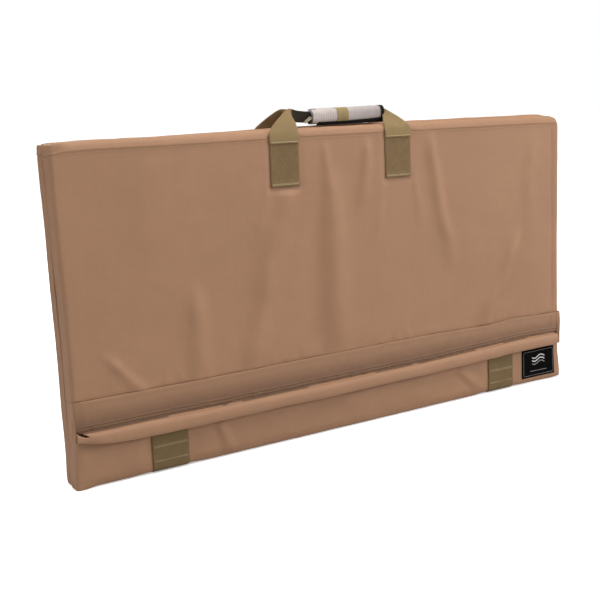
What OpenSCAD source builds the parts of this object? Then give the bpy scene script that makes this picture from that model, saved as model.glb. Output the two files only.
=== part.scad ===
// Folding layout field blind: two tube-framed leaves hinged at one short end (-X),
// shown closed as a carry case that stands on its long lower edge.
// X runs along the case, Y through its thickness (-Y is the front leaf), Z is up.

/* [Case] */
// Length of the closed case
case_l = 914; // [760:1:1000]
// Height of the leaf, without the handle
case_h = 460; // [420:1:520]
// Half of the space left between the two leaves
half_gap = 1.2; // [0.8:0.1:2]
// Fabric thickness of the leaf covers
cover_t = 1.6; // [1.2:0.1:2]

/* [Frame] */
// Outside diameter of the rails
rail_d = 19; // [18:0.5:20]
// Wall thickness of the rails
rail_wall = 1.5; // [1:0.1:2]
// Outside diameter of the cross bars
bar_d = 12; // [10:0.5:12]
// Centreline radius of the corner elbows
elbow_r = 16; // [14:1:22]
// Position of the cross bar nearer the hinge
bar_near = -190; // [-260:1:-120]
// Position of the cross bar that carries the prop
bar_far = 230; // [200:1:260]

/* [Hinge] */
// Diameter of the hinge pins
pin_d = 6; // [5:0.5:7]
// Radial running clearance round the pins
pin_gap = 0.06; // [0.03:0.01:0.1]
// Radius of the hinge ears and of the link ends
ear_r = 6.5; // [6:0.1:6.6]

/* [Handle] */
// Width of the carry webbing
web_w = 50; // [38:1:52]
// Thickness of the webbing
web_t = 1.8; // [1.4:0.1:1.8]
// Distance from the middle of the handle to each strap
handle_x = 104.5; // [100:0.5:120]
// Position of the middle of the handle along the case
handle_c = -6; // [-20:1:20]
// Length of the sewn strap tab on the leaf face
tab_l = 81; // [50:1:100]
// Length of the padded grip
grip_l = 128; // [100:1:130]
// Position of the middle of the padded grip along the case
grip_x = 20; // [0:1:22]
// Position of the keeper band along the case
keeper_x = 6; // [0:1:22]
// Lift of the grip from its rest on the case
grip_rise = 4; // [1:0.5:6]

/* [Skirt] */
// Height of the skirt seam above the lower edge
seam_h = 117; // [110:1:130]
// Depth of the flat part of the skirt
band_h = 39; // [30:1:44]
// Height of the rod sleeve
sleeve_h = 19; // [16:0.5:21]
// Depth of the rod sleeve
sleeve_t = 11.9; // [11:0.1:11.9]
// Diameter of the skirt rod
rod_d = 8; // [6:0.5:8]

/* [Anchor webbing and label] */
// Distance from the middle of the pair to each anchor strap
anchor_x = 316; // [290:1:320]
// Position of the middle of the pair of anchor straps
anchor_c = -4.5; // [-10:0.5:10]
// Width of the anchor webbing
anchor_w = 57; // [50:1:60]
// Height of the anchor strap above the lower edge
anchor_h = 98; // [70:1:108]
// Width of the label patch
label_w = 78; // [50:1:78]
// Height of the label patch
label_h = 50; // [40:1:52]

/* [Prop] */
// Diameter of the prop rod
prop_d = 8; // [6:0.5:8]
// Length of the prop from its pivot to its foot
prop_l = 380; // [300:5:420]
// Height of the lower prop leg above the lower edge
prop_lo = 100; // [95:1:130]
// Height of the upper prop leg above the lower edge
prop_hi = 360; // [300:1:365]

/* [Hidden] */
NODES = ["seat_cover", "seat_top_rail", "seat_bottom_rail", "seat_end_rail",
  "seat_corner_elbows", "seat_cross_bars", "seat_bar_saddles",
  "seat_hinge_fittings", "seat_rivets", "seat_sling", "seat_pad",
  "seat_anchor_webbing", "front_handle_tabs", "label_patch",
  "hinge_link_plates", "hinge_pins", "spine_panel",
  "back_cover", "back_top_rail", "back_bottom_rail", "back_end_rail",
  "back_corner_elbows", "back_cross_bars", "back_bar_saddles",
  "back_hinge_fittings", "back_rivets", "back_sling", "back_pad",
  "back_anchor_webbing", "rear_handle_tabs",
  "prop_brackets", "prop_bracket_screws", "prop_pins", "prop_frame", "prop_foot_sleeve",
  "skirt_panel", "skirt_rod",
  "front_handle_loop", "grip_wrap", "grip_binding", "grip_keeper",
  "grip_flap", "grip_hook_strip", "rear_handle_loop"];
node = "all";
$fn = 48;

half_l = case_l / 2;
leaf_z = web_t;                          // underside of the leaves
leaf_top = leaf_z + case_h;
slack = 0.3;                             // space between a rail and its cover
edge_r = rail_d / 2 + slack + cover_t;   // rounding of the leaf edges
rail_y = -(half_gap + edge_r);           // rail centre plane of the front leaf
face_y = -(half_gap + 2 * edge_r);       // outer face of the front leaf
low_z = leaf_z + edge_r;                 // lower rail axis
top_z = leaf_top - edge_r;               // upper rail axis
mid_z = leaf_z + case_h / 2;
end_x = half_l - edge_r;                 // end rail axis
rail_start = -half_l + 32;               // hinge end of the rails
rail_stop = end_x - elbow_r;
elbow_low = low_z + elbow_r;             // ends of the end rail
elbow_top = top_z - elbow_r;
bar_y = rail_y - 3.4;                    // cross bar axis
bars = [bar_near, bar_far];
prop_z = [leaf_z + prop_lo, leaf_z + prop_hi];
screw_dz = 11.5;                         // bracket screws, above and below each prop leg
sides = [-1, 1];

tan_fabric = [0.64, 0.49, 0.38];
olive = [0.46, 0.39, 0.27];
alu = [0.72, 0.72, 0.74];
dark = [0.13, 0.13, 0.14];
label_black = [0.08, 0.08, 0.09];
grip_grey = [0.7, 0.66, 0.65];

// ---- Helpers ----
module cyl_x(d, x0, x1) translate([x0, 0, 0]) rotate([0, 90, 0]) cylinder(d = d, h = x1 - x0);
module cyl_y(d, y0, y1) translate([0, y1, 0]) rotate([90, 0, 0]) cylinder(d = d, h = y1 - y0);
module cyl_z(d, z0, z1) translate([0, 0, z0]) cylinder(d = d, h = z1 - z0);
module box(low, high) translate(low) cube(high - low);

// Quarter bend in the XZ plane, counted from +X towards +Z
module bend(radius, d, start)
  rotate([90, 0, 0]) rotate([0, 0, start])
    rotate_extrude(angle = 90) translate([radius, 0]) circle(d = d);

// Front leaf to rear leaf, and lower edge to upper edge
module back() mirror([0, 1, 0]) children();
module top_of() translate([0, 0, 2 * mid_z]) mirror([0, 0, 1]) children();
module both_edges() {
  children();
  top_of() children();
}

// ---- Leaf cover ----
cover_start = -half_l + 17;
opening_inset = 10.8;   // edge of the inner opening, from the rail axes

// Solid of a leaf: a round edge swept along its outline, with a flat core
module leaf_solid(radius, start) {
  for (z = [low_z, top_z]) translate([0, rail_y, z]) cyl_x(2 * radius, start, rail_stop);
  translate([end_x, rail_y, 0]) cyl_z(2 * radius, elbow_low, elbow_top);
  translate([rail_stop, rail_y, elbow_low]) bend(elbow_r, 2 * radius, -90);
  translate([rail_stop, rail_y, elbow_top]) bend(elbow_r, 2 * radius, 0);
  translate([0, rail_y + radius, 0]) rotate([90, 0, 0]) linear_extrude(2 * radius) union() {
    translate([start, low_z]) square([rail_stop - start, top_z - low_z]);
    translate([rail_stop - 1, elbow_low]) square([elbow_r + 1, elbow_top - elbow_low]);
    for (z = [elbow_low, elbow_top]) translate([rail_stop, z]) circle(elbow_r);
  }
}

module bracket_screw_places()
  for (z = prop_z, side = sides) translate([bar_far, 0, z + side * screw_dz]) children();

module leaf_cover(screws) difference() {
  leaf_solid(edge_r, cover_start);
  leaf_solid(edge_r - cover_t, cover_start - 1);
  box([cover_start - 1, rail_y + 4, low_z + opening_inset],
      [end_x - opening_inset, 5, top_z - opening_inset]);
  if (screws) bracket_screw_places() cyl_y(4.4, face_y - 1, bar_y);
}

module seat_cover() color(tan_fabric) leaf_cover(false);
module back_cover() color(tan_fabric) back() leaf_cover(true);

// ---- Rivets ----
spigot_l = 22;        // reach of the elbows and hinge fittings into the rails
rivet_hole_d = 4.1;
bar_hole_d = 3.3;
rail_rivets = [rail_start + 12, rail_stop - spigot_l / 2];

// Rivet places at the lower edge; each puts the tube surface at z = 0
module at_rail_rivet(x) translate([x, rail_y, low_z + rail_d / 2]) children();
module at_end_rivet()
  translate([end_x - rail_d / 2, rail_y, elbow_low + spigot_l / 2])
    rotate([0, -90, 0]) children();
module at_bar_rivet(x) translate([x + bar_d / 2, bar_y, low_z + 26]) rotate([0, 90, 0]) children();

// Rivet pointing down, its head on the plane z = 0
module rivet(d, length, head_d, head_h) {
  cyl_z(d, -length, 0.01);
  cyl_z(head_d, 0, head_h);
}

module seat_rivets() color(alu) both_edges() {
  for (x = rail_rivets) at_rail_rivet(x) rivet(4, 6, 7, 1.2);
  at_end_rivet() rivet(4, 6, 7, 1.2);
  for (x = bars) at_bar_rivet(x) rivet(3.2, 4.5, 5.6, 1);
}
module back_rivets() back() seat_rivets();

// ---- Rails and elbows ----
rail_bore = rail_d - 2 * rail_wall;
spigot_d = rail_bore - 0.2;

module seat_bottom_rail() color(alu) difference() {
  translate([0, rail_y, low_z]) cyl_x(rail_d, rail_start, rail_stop);
  translate([0, rail_y, low_z]) cyl_x(rail_bore, rail_start - 1, rail_stop + 1);
  for (x = rail_rivets) at_rail_rivet(x) cyl_z(rivet_hole_d, -4, 2);
}
module seat_top_rail() top_of() seat_bottom_rail();
module back_bottom_rail() back() seat_bottom_rail();
module back_top_rail() back() seat_top_rail();

module seat_end_rail() color(alu) difference() {
  translate([end_x, rail_y, 0]) cyl_z(rail_d, elbow_low, elbow_top);
  translate([end_x, rail_y, 0]) cyl_z(rail_bore, low_z, top_z);
  both_edges() at_end_rivet() cyl_z(rivet_hole_d, -4, 2);
}
module back_end_rail() back() seat_end_rail();

// Elbow with a spigot into each of the two rails
module elbow() difference() {
  union() {
    translate([rail_stop, rail_y, elbow_low]) bend(elbow_r, rail_d, -90);
    translate([0, rail_y, low_z]) cyl_x(spigot_d, rail_stop - spigot_l, rail_stop + 1);
    translate([end_x, rail_y, 0]) cyl_z(spigot_d, elbow_low - 1, elbow_low + spigot_l);
  }
  at_rail_rivet(rail_rivets[1]) cyl_z(rivet_hole_d, -8, 2);
  at_end_rivet() cyl_z(rivet_hole_d, -8, 2);
}
module seat_corner_elbows() color(dark) both_edges() elbow();
module back_corner_elbows() back() seat_corner_elbows();

// ---- Cross bars ----
bar_wall = 1.2;
bar_bore = bar_d - 2 * bar_wall;
bar_inset = 16;   // bar ends, from the rail axes

module cross_bar(x, screws) difference() {
  translate([x, bar_y, 0]) cyl_z(bar_d, low_z + bar_inset, top_z - bar_inset);
  translate([x, bar_y, 0]) cyl_z(bar_bore, low_z + bar_inset - 1, top_z - bar_inset + 1);
  both_edges() at_bar_rivet(x) cyl_z(bar_hole_d, -3, 2);
  if (screws) bracket_screw_places() cyl_y(4.1, face_y, bar_y - 1);
}
module seat_cross_bars() color(alu) for (x = bars) cross_bar(x, false);
module back_cross_bars() color(alu) back() for (x = bars) cross_bar(x, x == bar_far);

// Saddle that sits on the lower rail and plugs into a cross bar
module saddle(x) {
  half_w = 13;
  top = low_z + 15;
  difference() {
    union() {
      intersection() {
        translate([0, rail_y, low_z]) cyl_x(29, x - half_w, x + half_w);
        box([x - half_w, rail_y - 9.4, low_z + 2], [x + half_w, rail_y + 2.6, top]);
      }
      translate([x, bar_y, 0]) cyl_z(bar_d, low_z + 12, low_z + bar_inset - 0.1);
      translate([x, bar_y, 0]) cyl_z(bar_bore - 0.1, low_z + 13, low_z + 36);
    }
    translate([0, rail_y, low_z]) cyl_x(rail_d + 0.1, x - half_w - 1, x + half_w + 1);
    at_bar_rivet(x) cyl_z(bar_hole_d, -6, 2);
  }
}
module seat_bar_saddles() color(dark) for (x = bars) both_edges() saddle(x);
module back_bar_saddles() back() seat_bar_saddles();

// ---- Hinge ----
pin_x = -half_l + 7;
pin_y = 17;                            // pin axes, to each side of the middle
ear_z = [low_z - 4.2, low_z + 0.8];
link_z = [low_z + 1, low_z + 5];       // link plate, just above the ear
pin_z = [low_z - 4.4, low_z + 5.2];
pin_head_d = 9;
pin_head_t = 1.5;

// End fitting of a lower rail with its hinge ear
module hinge_fitting() difference() {
  union() {
    translate([0, rail_y, low_z]) cyl_x(spigot_d, rail_start - 1, rail_start + spigot_l);
    translate([0, rail_y, low_z]) cyl_x(rail_d, -half_l + 14, rail_start);
    box([pin_x, -pin_y - ear_r, ear_z[0]], [-half_l + 16, -pin_y + ear_r, ear_z[1]]);
    translate([pin_x, -pin_y, 0]) cyl_z(2 * ear_r, ear_z[0], ear_z[1]);
  }
  translate([pin_x, -pin_y, 0]) cyl_z(pin_d + 2 * pin_gap, low_z - 6, low_z + 6);
  at_rail_rivet(rail_rivets[0]) cyl_z(rivet_hole_d, -8, 2);
}
module seat_hinge_fittings() color(dark) both_edges() hinge_fitting();
module back_hinge_fittings() back() seat_hinge_fittings();

module pin_places() for (side = sides) translate([pin_x, side * pin_y, 0]) children();

module hinge_link_plates() color(alu) both_edges() difference() {
  union() {
    box([pin_x - ear_r, -pin_y, link_z[0]], [pin_x + ear_r, pin_y, link_z[1]]);
    pin_places() cyl_z(2 * ear_r, link_z[0], link_z[1]);
  }
  pin_places() cyl_z(pin_d + 0.02, link_z[0] - 1, link_z[1] + 1);
}

module hinge_pins() color("silver") both_edges() pin_places() {
  cyl_z(pin_d, pin_z[0], pin_z[1]);
  cyl_z(pin_head_d, pin_z[0] - pin_head_t, pin_z[0] + 0.01);
  cyl_z(pin_head_d, pin_z[1] - 0.01, pin_z[1] + pin_head_t);
}

module spine_panel() color(tan_fabric)
  box([-half_l - 1.4, -15, leaf_z + 36], [-half_l + 0.2, 15, leaf_top - 2]);

// ---- Sling, pad, webbing and label ----
sling_inset = 12;
pad_inset = 11.2;

module seat_sling() color(olive)
  box([rail_start + 4, rail_y + 3, low_z + sling_inset],
      [end_x - sling_inset, rail_y + 4.6, top_z - sling_inset]);
module back_sling() back() seat_sling();

module seat_pad() color(tan_fabric)
  box([rail_start + 6, rail_y + 4.9, low_z + pad_inset],
      [end_x - pad_inset, -half_gap - 2.1, top_z - pad_inset]);
module back_pad() back() seat_pad();

// Webbing that runs down the face, under the edge and up inside
module anchor_strap(x) {
  x0 = x - anchor_w / 2;
  x1 = x + anchor_w / 2;
  inner_y = -half_gap + 0.9;
  box([x0, face_y - 0.1 - web_t, 0], [x1, face_y - 0.1, leaf_z + anchor_h]);
  box([x0, face_y - 0.2, 0], [x1, inner_y, web_t]);
  box([x0, inner_y - 0.8, 0], [x1, inner_y, leaf_z + 20]);
}
module seat_anchor_webbing() color(olive)
  for (side = sides) anchor_strap(anchor_c + side * anchor_x);
module back_anchor_webbing() back() seat_anchor_webbing();

// Sewn tab on the face, wrapped over the upper edge
module handle_tab(x) {
  x0 = x - web_w / 2;
  wrap_r = edge_r + 0.1;
  box([x0, rail_y - wrap_r - web_t, leaf_top - tab_l], [x0 + web_w, rail_y - wrap_r, top_z]);
  translate([x0 + web_w, rail_y, top_z]) rotate([90, 0, -90])
    rotate_extrude(angle = 96) translate([wrap_r, 0]) square([web_t, web_w]);
}
module front_handle_tabs() color(olive)
  for (side = sides) handle_tab(handle_c + side * handle_x);
module rear_handle_tabs() back() front_handle_tabs();

module label_patch() color(label_black) {
  x1 = half_l - 16;
  z0 = leaf_z + 8.5;
  box([x1 - label_w, face_y - 1, z0], [x1, face_y - 0.1, z0 + label_h]);
}

// ---- Prop, on the rear face ----
rear_y = -face_y;
prop_y = rear_y + 8.5;
foot_x = bar_far - prop_l;
prop_bend_r = 25;
prop_pin_d = 5;
eye_d = 11;       // leg eyes and bracket lugs
lug_t = 2.8;
lug_gap = 4.8;    // from the leg axis to each lug

module prop_bracket(z) difference() {
  union() {
    box([bar_far - 9, rear_y + 0.1, z - 16], [bar_far + 9, rear_y + 2.2, z + 16]);
    for (lug_z = [z - lug_gap - lug_t, z + lug_gap]) {
      box([bar_far - eye_d / 2, rear_y + 2, lug_z], [bar_far + eye_d / 2, prop_y, lug_z + lug_t]);
      translate([bar_far, prop_y, 0]) cyl_z(eye_d, lug_z, lug_z + lug_t);
    }
  }
  translate([bar_far, prop_y, 0]) cyl_z(prop_pin_d + 0.02, z - 9, z + 9);
  for (side = sides) translate([bar_far, 0, z + side * screw_dz])
    cyl_y(4.2, rear_y - 1, rear_y + 4);
}
module prop_brackets() color(dark) for (z = prop_z) prop_bracket(z);

module prop_bracket_screws() color("silver") bracket_screw_places() {
  cyl_y(4, -bar_y + 2, rear_y + 2.3);
  cyl_y(7, rear_y + 2.25, rear_y + 4.2);
}

module prop_pins() color("silver") for (z = prop_z) translate([bar_far, prop_y, z]) {
  cyl_z(prop_pin_d, -7.8, 7.8);
  cyl_z(8, -9.2, -7.7);
  cyl_z(8, 7.7, 9.2);
}

// U of rod: two legs with eyes, joined at the foot
module prop_frame() color(alu) {
  bend_x = foot_x + prop_bend_r;
  bend_z = [prop_z[0] + prop_bend_r, prop_z[1] - prop_bend_r];
  difference() {
    union() {
      for (z = prop_z) {
        translate([0, prop_y, z]) cyl_x(prop_d, bend_x, bar_far - 3);
        translate([bar_far, prop_y, 0]) cyl_z(eye_d, z - 4.6, z + 4.6);
      }
      translate([foot_x, prop_y, 0]) cyl_z(prop_d, bend_z[0], bend_z[1]);
      translate([bend_x, prop_y, bend_z[0]]) bend(prop_bend_r, prop_d, 180);
      translate([bend_x, prop_y, bend_z[1]]) bend(prop_bend_r, prop_d, 90);
    }
    for (z = prop_z) translate([bar_far, prop_y, 0]) cyl_z(prop_pin_d + 0.1, z - 6, z + 6);
  }
}

// The sleeve sits slightly off the rod axis, towards the case
module prop_foot_sleeve() color(dark) difference() {
  translate([foot_x, prop_y - 0.5, 0]) cyl_z(12, prop_z[0] + 60, prop_z[1] - 60);
  translate([foot_x, prop_y, 0]) cyl_z(prop_d + 0.02, prop_z[0] + 50, prop_z[1] - 50);
}

// ---- Skirt, on the front face ----
skirt_y = face_y - web_t - 0.3;    // back of the skirt
seam_z = leaf_z + seam_h;
skirt_end = half_l + 1.4;
rod_y = skirt_y - sleeve_t / 2;
rod_z = seam_z - band_h - sleeve_h / 2;

// Flat band with a return round the +X end, and the rod sleeve below
module skirt_panel() color(tan_fabric) {
  fabric_t = 1.6;
  round_dz = (sleeve_h - sleeve_t) / 2;
  start = -half_l + 7;
  stop = half_l - 13;
  box([-half_l + 5, skirt_y - fabric_t, rod_z + round_dz], [skirt_end, skirt_y, seam_z]);
  box([half_l + 0.15, skirt_y - fabric_t, seam_z - band_h + 1],
      [skirt_end, skirt_y + 12, seam_z]);
  difference() {
    union() {
      for (side = sides) translate([0, rod_y, rod_z + side * round_dz])
        cyl_x(sleeve_t, start, stop);
      box([start, skirt_y - sleeve_t, rod_z - round_dz], [stop, skirt_y, rod_z + round_dz]);
    }
    translate([0, rod_y, rod_z]) cyl_x(rod_d + 0.6, start - 1, stop - 5);
  }
}

module skirt_rod() color(alu)
  translate([0, rod_y, rod_z]) cyl_x(rod_d, -half_l + 24, half_l - 20);

// ---- Handle loops and grip ----
grip_h = 24.4;
grip_r = 9;        // rounding of the grip's top and bottom
padding_t = 3;
grip_z = leaf_top + web_t + 0.2 + grip_rise + grip_h / 2;
grip_x0 = grip_x - grip_l / 2;
grip_x1 = grip_x + grip_l / 2;
binding_l = 4.95;
keeper_half = 10.5;
bundle_h = 16;     // strap bundle inside the grip
bundle_x0 = grip_x0 - 6;
bundle_x1 = grip_x1 + 5;

// strap x, fold x, fold front y, fold z from the grip axis, bundle end x
loop_ends = [
  [handle_c - handle_x, handle_c - handle_x + 20, -6.6, 5, bundle_x0],
  [handle_c + handle_x, bundle_x1 + 11, -8.4, -2, bundle_x1]
];

module bundle(x0, x1)
  box([x0, -4.8, grip_z - bundle_h / 2], [x1, -0.5, grip_z + bundle_h / 2]);

module fold(x, y, z) box([x - 8, y, z], [x + 8, y + 2.2, z + 4]);

// Free part of one strap: each end rises from the leaf, folds and enters the grip
module front_handle_loop() color(olive) {
  base_z = leaf_top + web_t + 0.5;
  for (end = loop_ends) {
    hull() {
      box([end[0] - web_w / 2, rail_y - 3, base_z],
          [end[0] + web_w / 2, rail_y - 1.2, base_z + 1.4]);
      fold(end[1], end[2], grip_z + end[3]);
    }
    hull() {
      fold(end[1], end[2], grip_z + end[3]);
      bundle(end[4] - 1.5, end[4] + 1.5);
    }
  }
  bundle(bundle_x0 - 1, bundle_x1 + 1);
}
module rear_handle_loop() back() front_handle_loop();

// C-shaped padded sleeve, open towards the rear, its outside grown by a margin
module grip_shell(x0, x1, grow) {
  round_dz = grip_h / 2 - grip_r;
  outer_r = grip_r + grow;
  difference() {
    union() {
      for (side = sides) translate([0, 0, grip_z + side * round_dz]) cyl_x(2 * outer_r, x0, x1);
      box([x0, -outer_r, grip_z - round_dz], [x1, outer_r, grip_z + round_dz]);
    }
    box([x0 - 1, -grip_r + padding_t, grip_z - 9.2], [x1 + 1, 20, grip_z + 9.2]);
    box([x0 - 1, 5.9, grip_z - 20], [x1 + 1, 20, grip_z + 20]);
  }
}

module grip_wrap() color(grip_grey) difference() {
  grip_shell(grip_x0 + 5, grip_x1 - 5, 0);
  grip_shell(keeper_x - keeper_half - 0.05, keeper_x + keeper_half + 0.05, 0.01);
}
module grip_binding() color(dark)
  for (x = [grip_x0, grip_x1 - binding_l]) grip_shell(x, x + binding_l, 0.5);
module grip_keeper() color(olive)
  grip_shell(keeper_x - keeper_half, keeper_x + keeper_half, 0.6);

// Flap standing out to the rear from a rounded root, with the strip under it
module at_flap() translate([0, 7.4, grip_z + 10.8]) children();
module grip_flap() color(grip_grey) at_flap() {
  box([grip_x0 + 5.5, 0, -1.1], [grip_x1 - 5.5, 18.6, 1.4]);
  cyl_x(2.2, grip_x0 + 5.5, grip_x1 - 5.5);
}
module grip_hook_strip() color(dark) at_flap()
  box([grip_x0 + 10, 7, -1.95], [grip_x1 - 10, 17, -1.12]);

// ---- Nodes ----
function on(name) = node == "all" || node == name;

if (on("seat_cover")) seat_cover();
if (on("seat_top_rail")) seat_top_rail();
if (on("seat_bottom_rail")) seat_bottom_rail();
if (on("seat_end_rail")) seat_end_rail();
if (on("seat_corner_elbows")) seat_corner_elbows();
if (on("seat_cross_bars")) seat_cross_bars();
if (on("seat_bar_saddles")) seat_bar_saddles();
if (on("seat_hinge_fittings")) seat_hinge_fittings();
if (on("seat_rivets")) seat_rivets();
if (on("seat_sling")) seat_sling();
if (on("seat_pad")) seat_pad();
if (on("seat_anchor_webbing")) seat_anchor_webbing();
if (on("front_handle_tabs")) front_handle_tabs();
if (on("label_patch")) label_patch();
if (on("hinge_link_plates")) hinge_link_plates();
if (on("hinge_pins")) hinge_pins();
if (on("spine_panel")) spine_panel();
if (on("back_cover")) back_cover();
if (on("back_top_rail")) back_top_rail();
if (on("back_bottom_rail")) back_bottom_rail();
if (on("back_end_rail")) back_end_rail();
if (on("back_corner_elbows")) back_corner_elbows();
if (on("back_cross_bars")) back_cross_bars();
if (on("back_bar_saddles")) back_bar_saddles();
if (on("back_hinge_fittings")) back_hinge_fittings();
if (on("back_rivets")) back_rivets();
if (on("back_sling")) back_sling();
if (on("back_pad")) back_pad();
if (on("back_anchor_webbing")) back_anchor_webbing();
if (on("rear_handle_tabs")) rear_handle_tabs();
if (on("prop_brackets")) prop_brackets();
if (on("prop_bracket_screws")) prop_bracket_screws();
if (on("prop_pins")) prop_pins();
if (on("prop_frame")) prop_frame();
if (on("prop_foot_sleeve")) prop_foot_sleeve();
if (on("skirt_panel")) skirt_panel();
if (on("skirt_rod")) skirt_rod();
if (on("front_handle_loop")) front_handle_loop();
if (on("grip_wrap")) grip_wrap();
if (on("grip_binding")) grip_binding();
if (on("grip_keeper")) grip_keeper();
if (on("grip_flap")) grip_flap();
if (on("grip_hook_strip")) grip_hook_strip();
if (on("rear_handle_loop")) rear_handle_loop();
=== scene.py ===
"""A folding seat with cloth-covered leaves, standing folded on its long lower edge.

The leaves run along x, hinged at the -x end and free at the +x end, and stand up in z.
The seat leaf is on the -y side and its outer face looks towards -y. The back leaf is on
the +y side; its parts are shaped on the -y side and then mirrored. Sizes are in mm.
"""
import bmesh
import bpy
import math
import numpy as np
from mathutils import Matrix, Vector


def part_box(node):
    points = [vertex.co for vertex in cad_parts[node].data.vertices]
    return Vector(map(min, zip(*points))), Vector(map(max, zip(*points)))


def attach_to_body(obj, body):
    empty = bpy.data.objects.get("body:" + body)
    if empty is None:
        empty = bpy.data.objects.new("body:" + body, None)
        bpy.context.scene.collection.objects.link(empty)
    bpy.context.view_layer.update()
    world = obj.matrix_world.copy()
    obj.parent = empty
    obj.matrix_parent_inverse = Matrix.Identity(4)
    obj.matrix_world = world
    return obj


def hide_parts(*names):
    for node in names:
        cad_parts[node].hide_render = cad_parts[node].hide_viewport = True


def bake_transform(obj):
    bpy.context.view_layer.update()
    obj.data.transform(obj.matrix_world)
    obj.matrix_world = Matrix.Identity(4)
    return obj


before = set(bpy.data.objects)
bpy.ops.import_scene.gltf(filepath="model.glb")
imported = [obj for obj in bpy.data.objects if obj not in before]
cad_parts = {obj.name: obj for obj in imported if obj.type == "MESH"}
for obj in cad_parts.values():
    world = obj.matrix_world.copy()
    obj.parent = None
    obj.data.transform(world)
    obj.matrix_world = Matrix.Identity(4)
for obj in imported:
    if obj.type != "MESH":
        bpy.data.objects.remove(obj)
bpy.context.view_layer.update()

# ---------------------------------------------------------------- sizes
PI = math.pi


def cad_box(name):
    low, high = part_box(name)
    return np.array(low) * 1000.0, np.array(high) * 1000.0


cover_low, cover_high = cad_box("seat_cover")
FACE_Y, INNER_Y = cover_low[1], cover_high[1]
BOTTOM, TOP = cover_low[2], cover_high[2]
FREE_END = cover_high[0]
MID_Y = (FACE_Y + INNER_Y) / 2
EDGE_R = (INNER_Y - FACE_Y) / 2         # radius of the rolled edges
# limits of the flat face, inside the rolled edges
FLAT_BOTTOM, FLAT_TOP, FLAT_END = BOTTOM + EDGE_R, TOP - EDGE_R, FREE_END - EDGE_R
HINGE_X, HINGE_Y = -450.0, 17.0         # hinge pin axis
TOP_SEAM = FLAT_TOP - 2.5
END_SEAMS = (FREE_END - 14.6, FREE_END - 19.2)

tabs_low, tabs_high = cad_box("front_handle_tabs")
anchors_low, anchors_high = cad_box("seat_anchor_webbing")
label_low, label_high = cad_box("label_patch")
TAB_WIDTH = 50.0
TAB_XS = [tabs_low[0] + TAB_WIDTH / 2, tabs_high[0] - TAB_WIDTH / 2]
TAB_FOOT = tabs_low[2]
TAB_SEAM = FLAT_TOP - 4.5
ANCHOR_WIDTH = 57.0
ANCHOR_XS = [anchors_low[0] + ANCHOR_WIDTH / 2, anchors_high[0] - ANCHOR_WIDTH / 2]
BAR_XS = [-190.0, 230.0]
WEB_THICK = 1.35

OUTWARD = (0, -1.0, 0)                  # outward from the seat leaf face


# ---------------------------------------------------------------- curves and noise
def ease(start, end, x):
    """Smooth step from 0 at start to 1 at end; start may be the larger."""
    t = np.clip((np.asarray(x, float) - start) / (end - start), 0, 1)
    return t * t * (3 - 2 * t)


def bell(x, centre, width):
    return np.exp(-((x - centre) / width) ** 2)


def boxy(value, power):
    """Power that keeps the sign: a power below 1 squares off a round."""
    return np.sign(value) * np.abs(value) ** power


def points(x, y, z):
    """Broadcasts three coordinates into one array of points."""
    return np.stack(np.broadcast_arrays(x, y, z), -1).astype(float)


def unit(vectors):
    return vectors / np.linalg.norm(vectors, axis=-1, keepdims=True)


def arc_length(path):
    return np.concatenate([[0], np.cumsum(np.linalg.norm(np.diff(path, axis=0), axis=1))])


def resample(path, step):
    path = np.asarray(path, float)
    distance = arc_length(path)
    even = np.linspace(0, distance[-1], int(distance[-1] / step) + 1)
    return np.stack([np.interp(even, distance, path[:, k]) for k in range(3)], -1)


def smooth_curve(stations, samples):
    """Catmull-Rom curve through the stations, with so many samples a span."""
    p = [np.array(q, float) for q in stations]
    p = [2 * p[0] - p[1]] + p + [2 * p[-1] - p[-2]]
    out = []
    for a, b, c, d in zip(p[:-3], p[1:-2], p[2:-1], p[3:]):
        for i in range(samples):
            t = i / samples
            out.append(0.5 * (2 * b + (c - a) * t + (2 * a - 5 * b + 4 * c - d) * t * t
                              + (3 * b - a - 3 * c + d) * t ** 3))
    out.append(p[-2])
    return np.array(out)


def stack_blocks(count, blocks):
    """Sets pairs of values side by side, each spread over count rows."""
    spread = [np.broadcast_arrays(a, b, np.zeros((count, 1)))[:2] for a, b in blocks]
    return [np.hstack(part) for part in zip(*spread)]


class Noise:
    """Smooth lattice noise in two dimensions, about -1 to 1."""

    def __init__(self, seed):
        self.lattice = np.random.RandomState(seed).rand(128, 128) * 2 - 1

    def at(self, x, y):
        x = np.asarray(x, float) + 1000.0
        y = np.asarray(y, float) + 1000.0
        i, j = np.floor(x).astype(int), np.floor(y).astype(int)
        x, y = x - i, y - j
        x = x * x * x * (x * (x * 6 - 15) + 10)
        y = y * y * y * (y * (y * 6 - 15) + 10)

        def corner(k, m):
            return self.lattice[(i + k) % 128, (j + m) % 128]

        near = corner(0, 0) * (1 - x) + corner(1, 0) * x
        far = corner(0, 1) * (1 - x) + corner(1, 1) * x
        return near * (1 - y) + far * y

    def layered(self, x, y, octaves):
        total, size, rate = 0.0, 1.0, 1.0
        for i in range(octaves):
            total = total + size * self.at(x * rate + 17.3 * i, y * rate - 9.1 * i)
            size *= 0.5
            rate *= 2.03
        return total


FRONT_NOISE = Noise(11)
REAR_NOISE = Noise(23)


# ---------------------------------------------------------------- mesh helpers
def quads(index):
    """Quads between the neighbours of a two-dimensional table of vertex numbers."""
    corners = [index[:-1, :-1], index[1:, :-1], index[1:, 1:], index[:-1, 1:]]
    return np.stack(corners, -1).reshape(-1, 4)


def grid_quads(rows, columns):
    return quads(np.arange(rows * columns).reshape(rows, columns))


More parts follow.
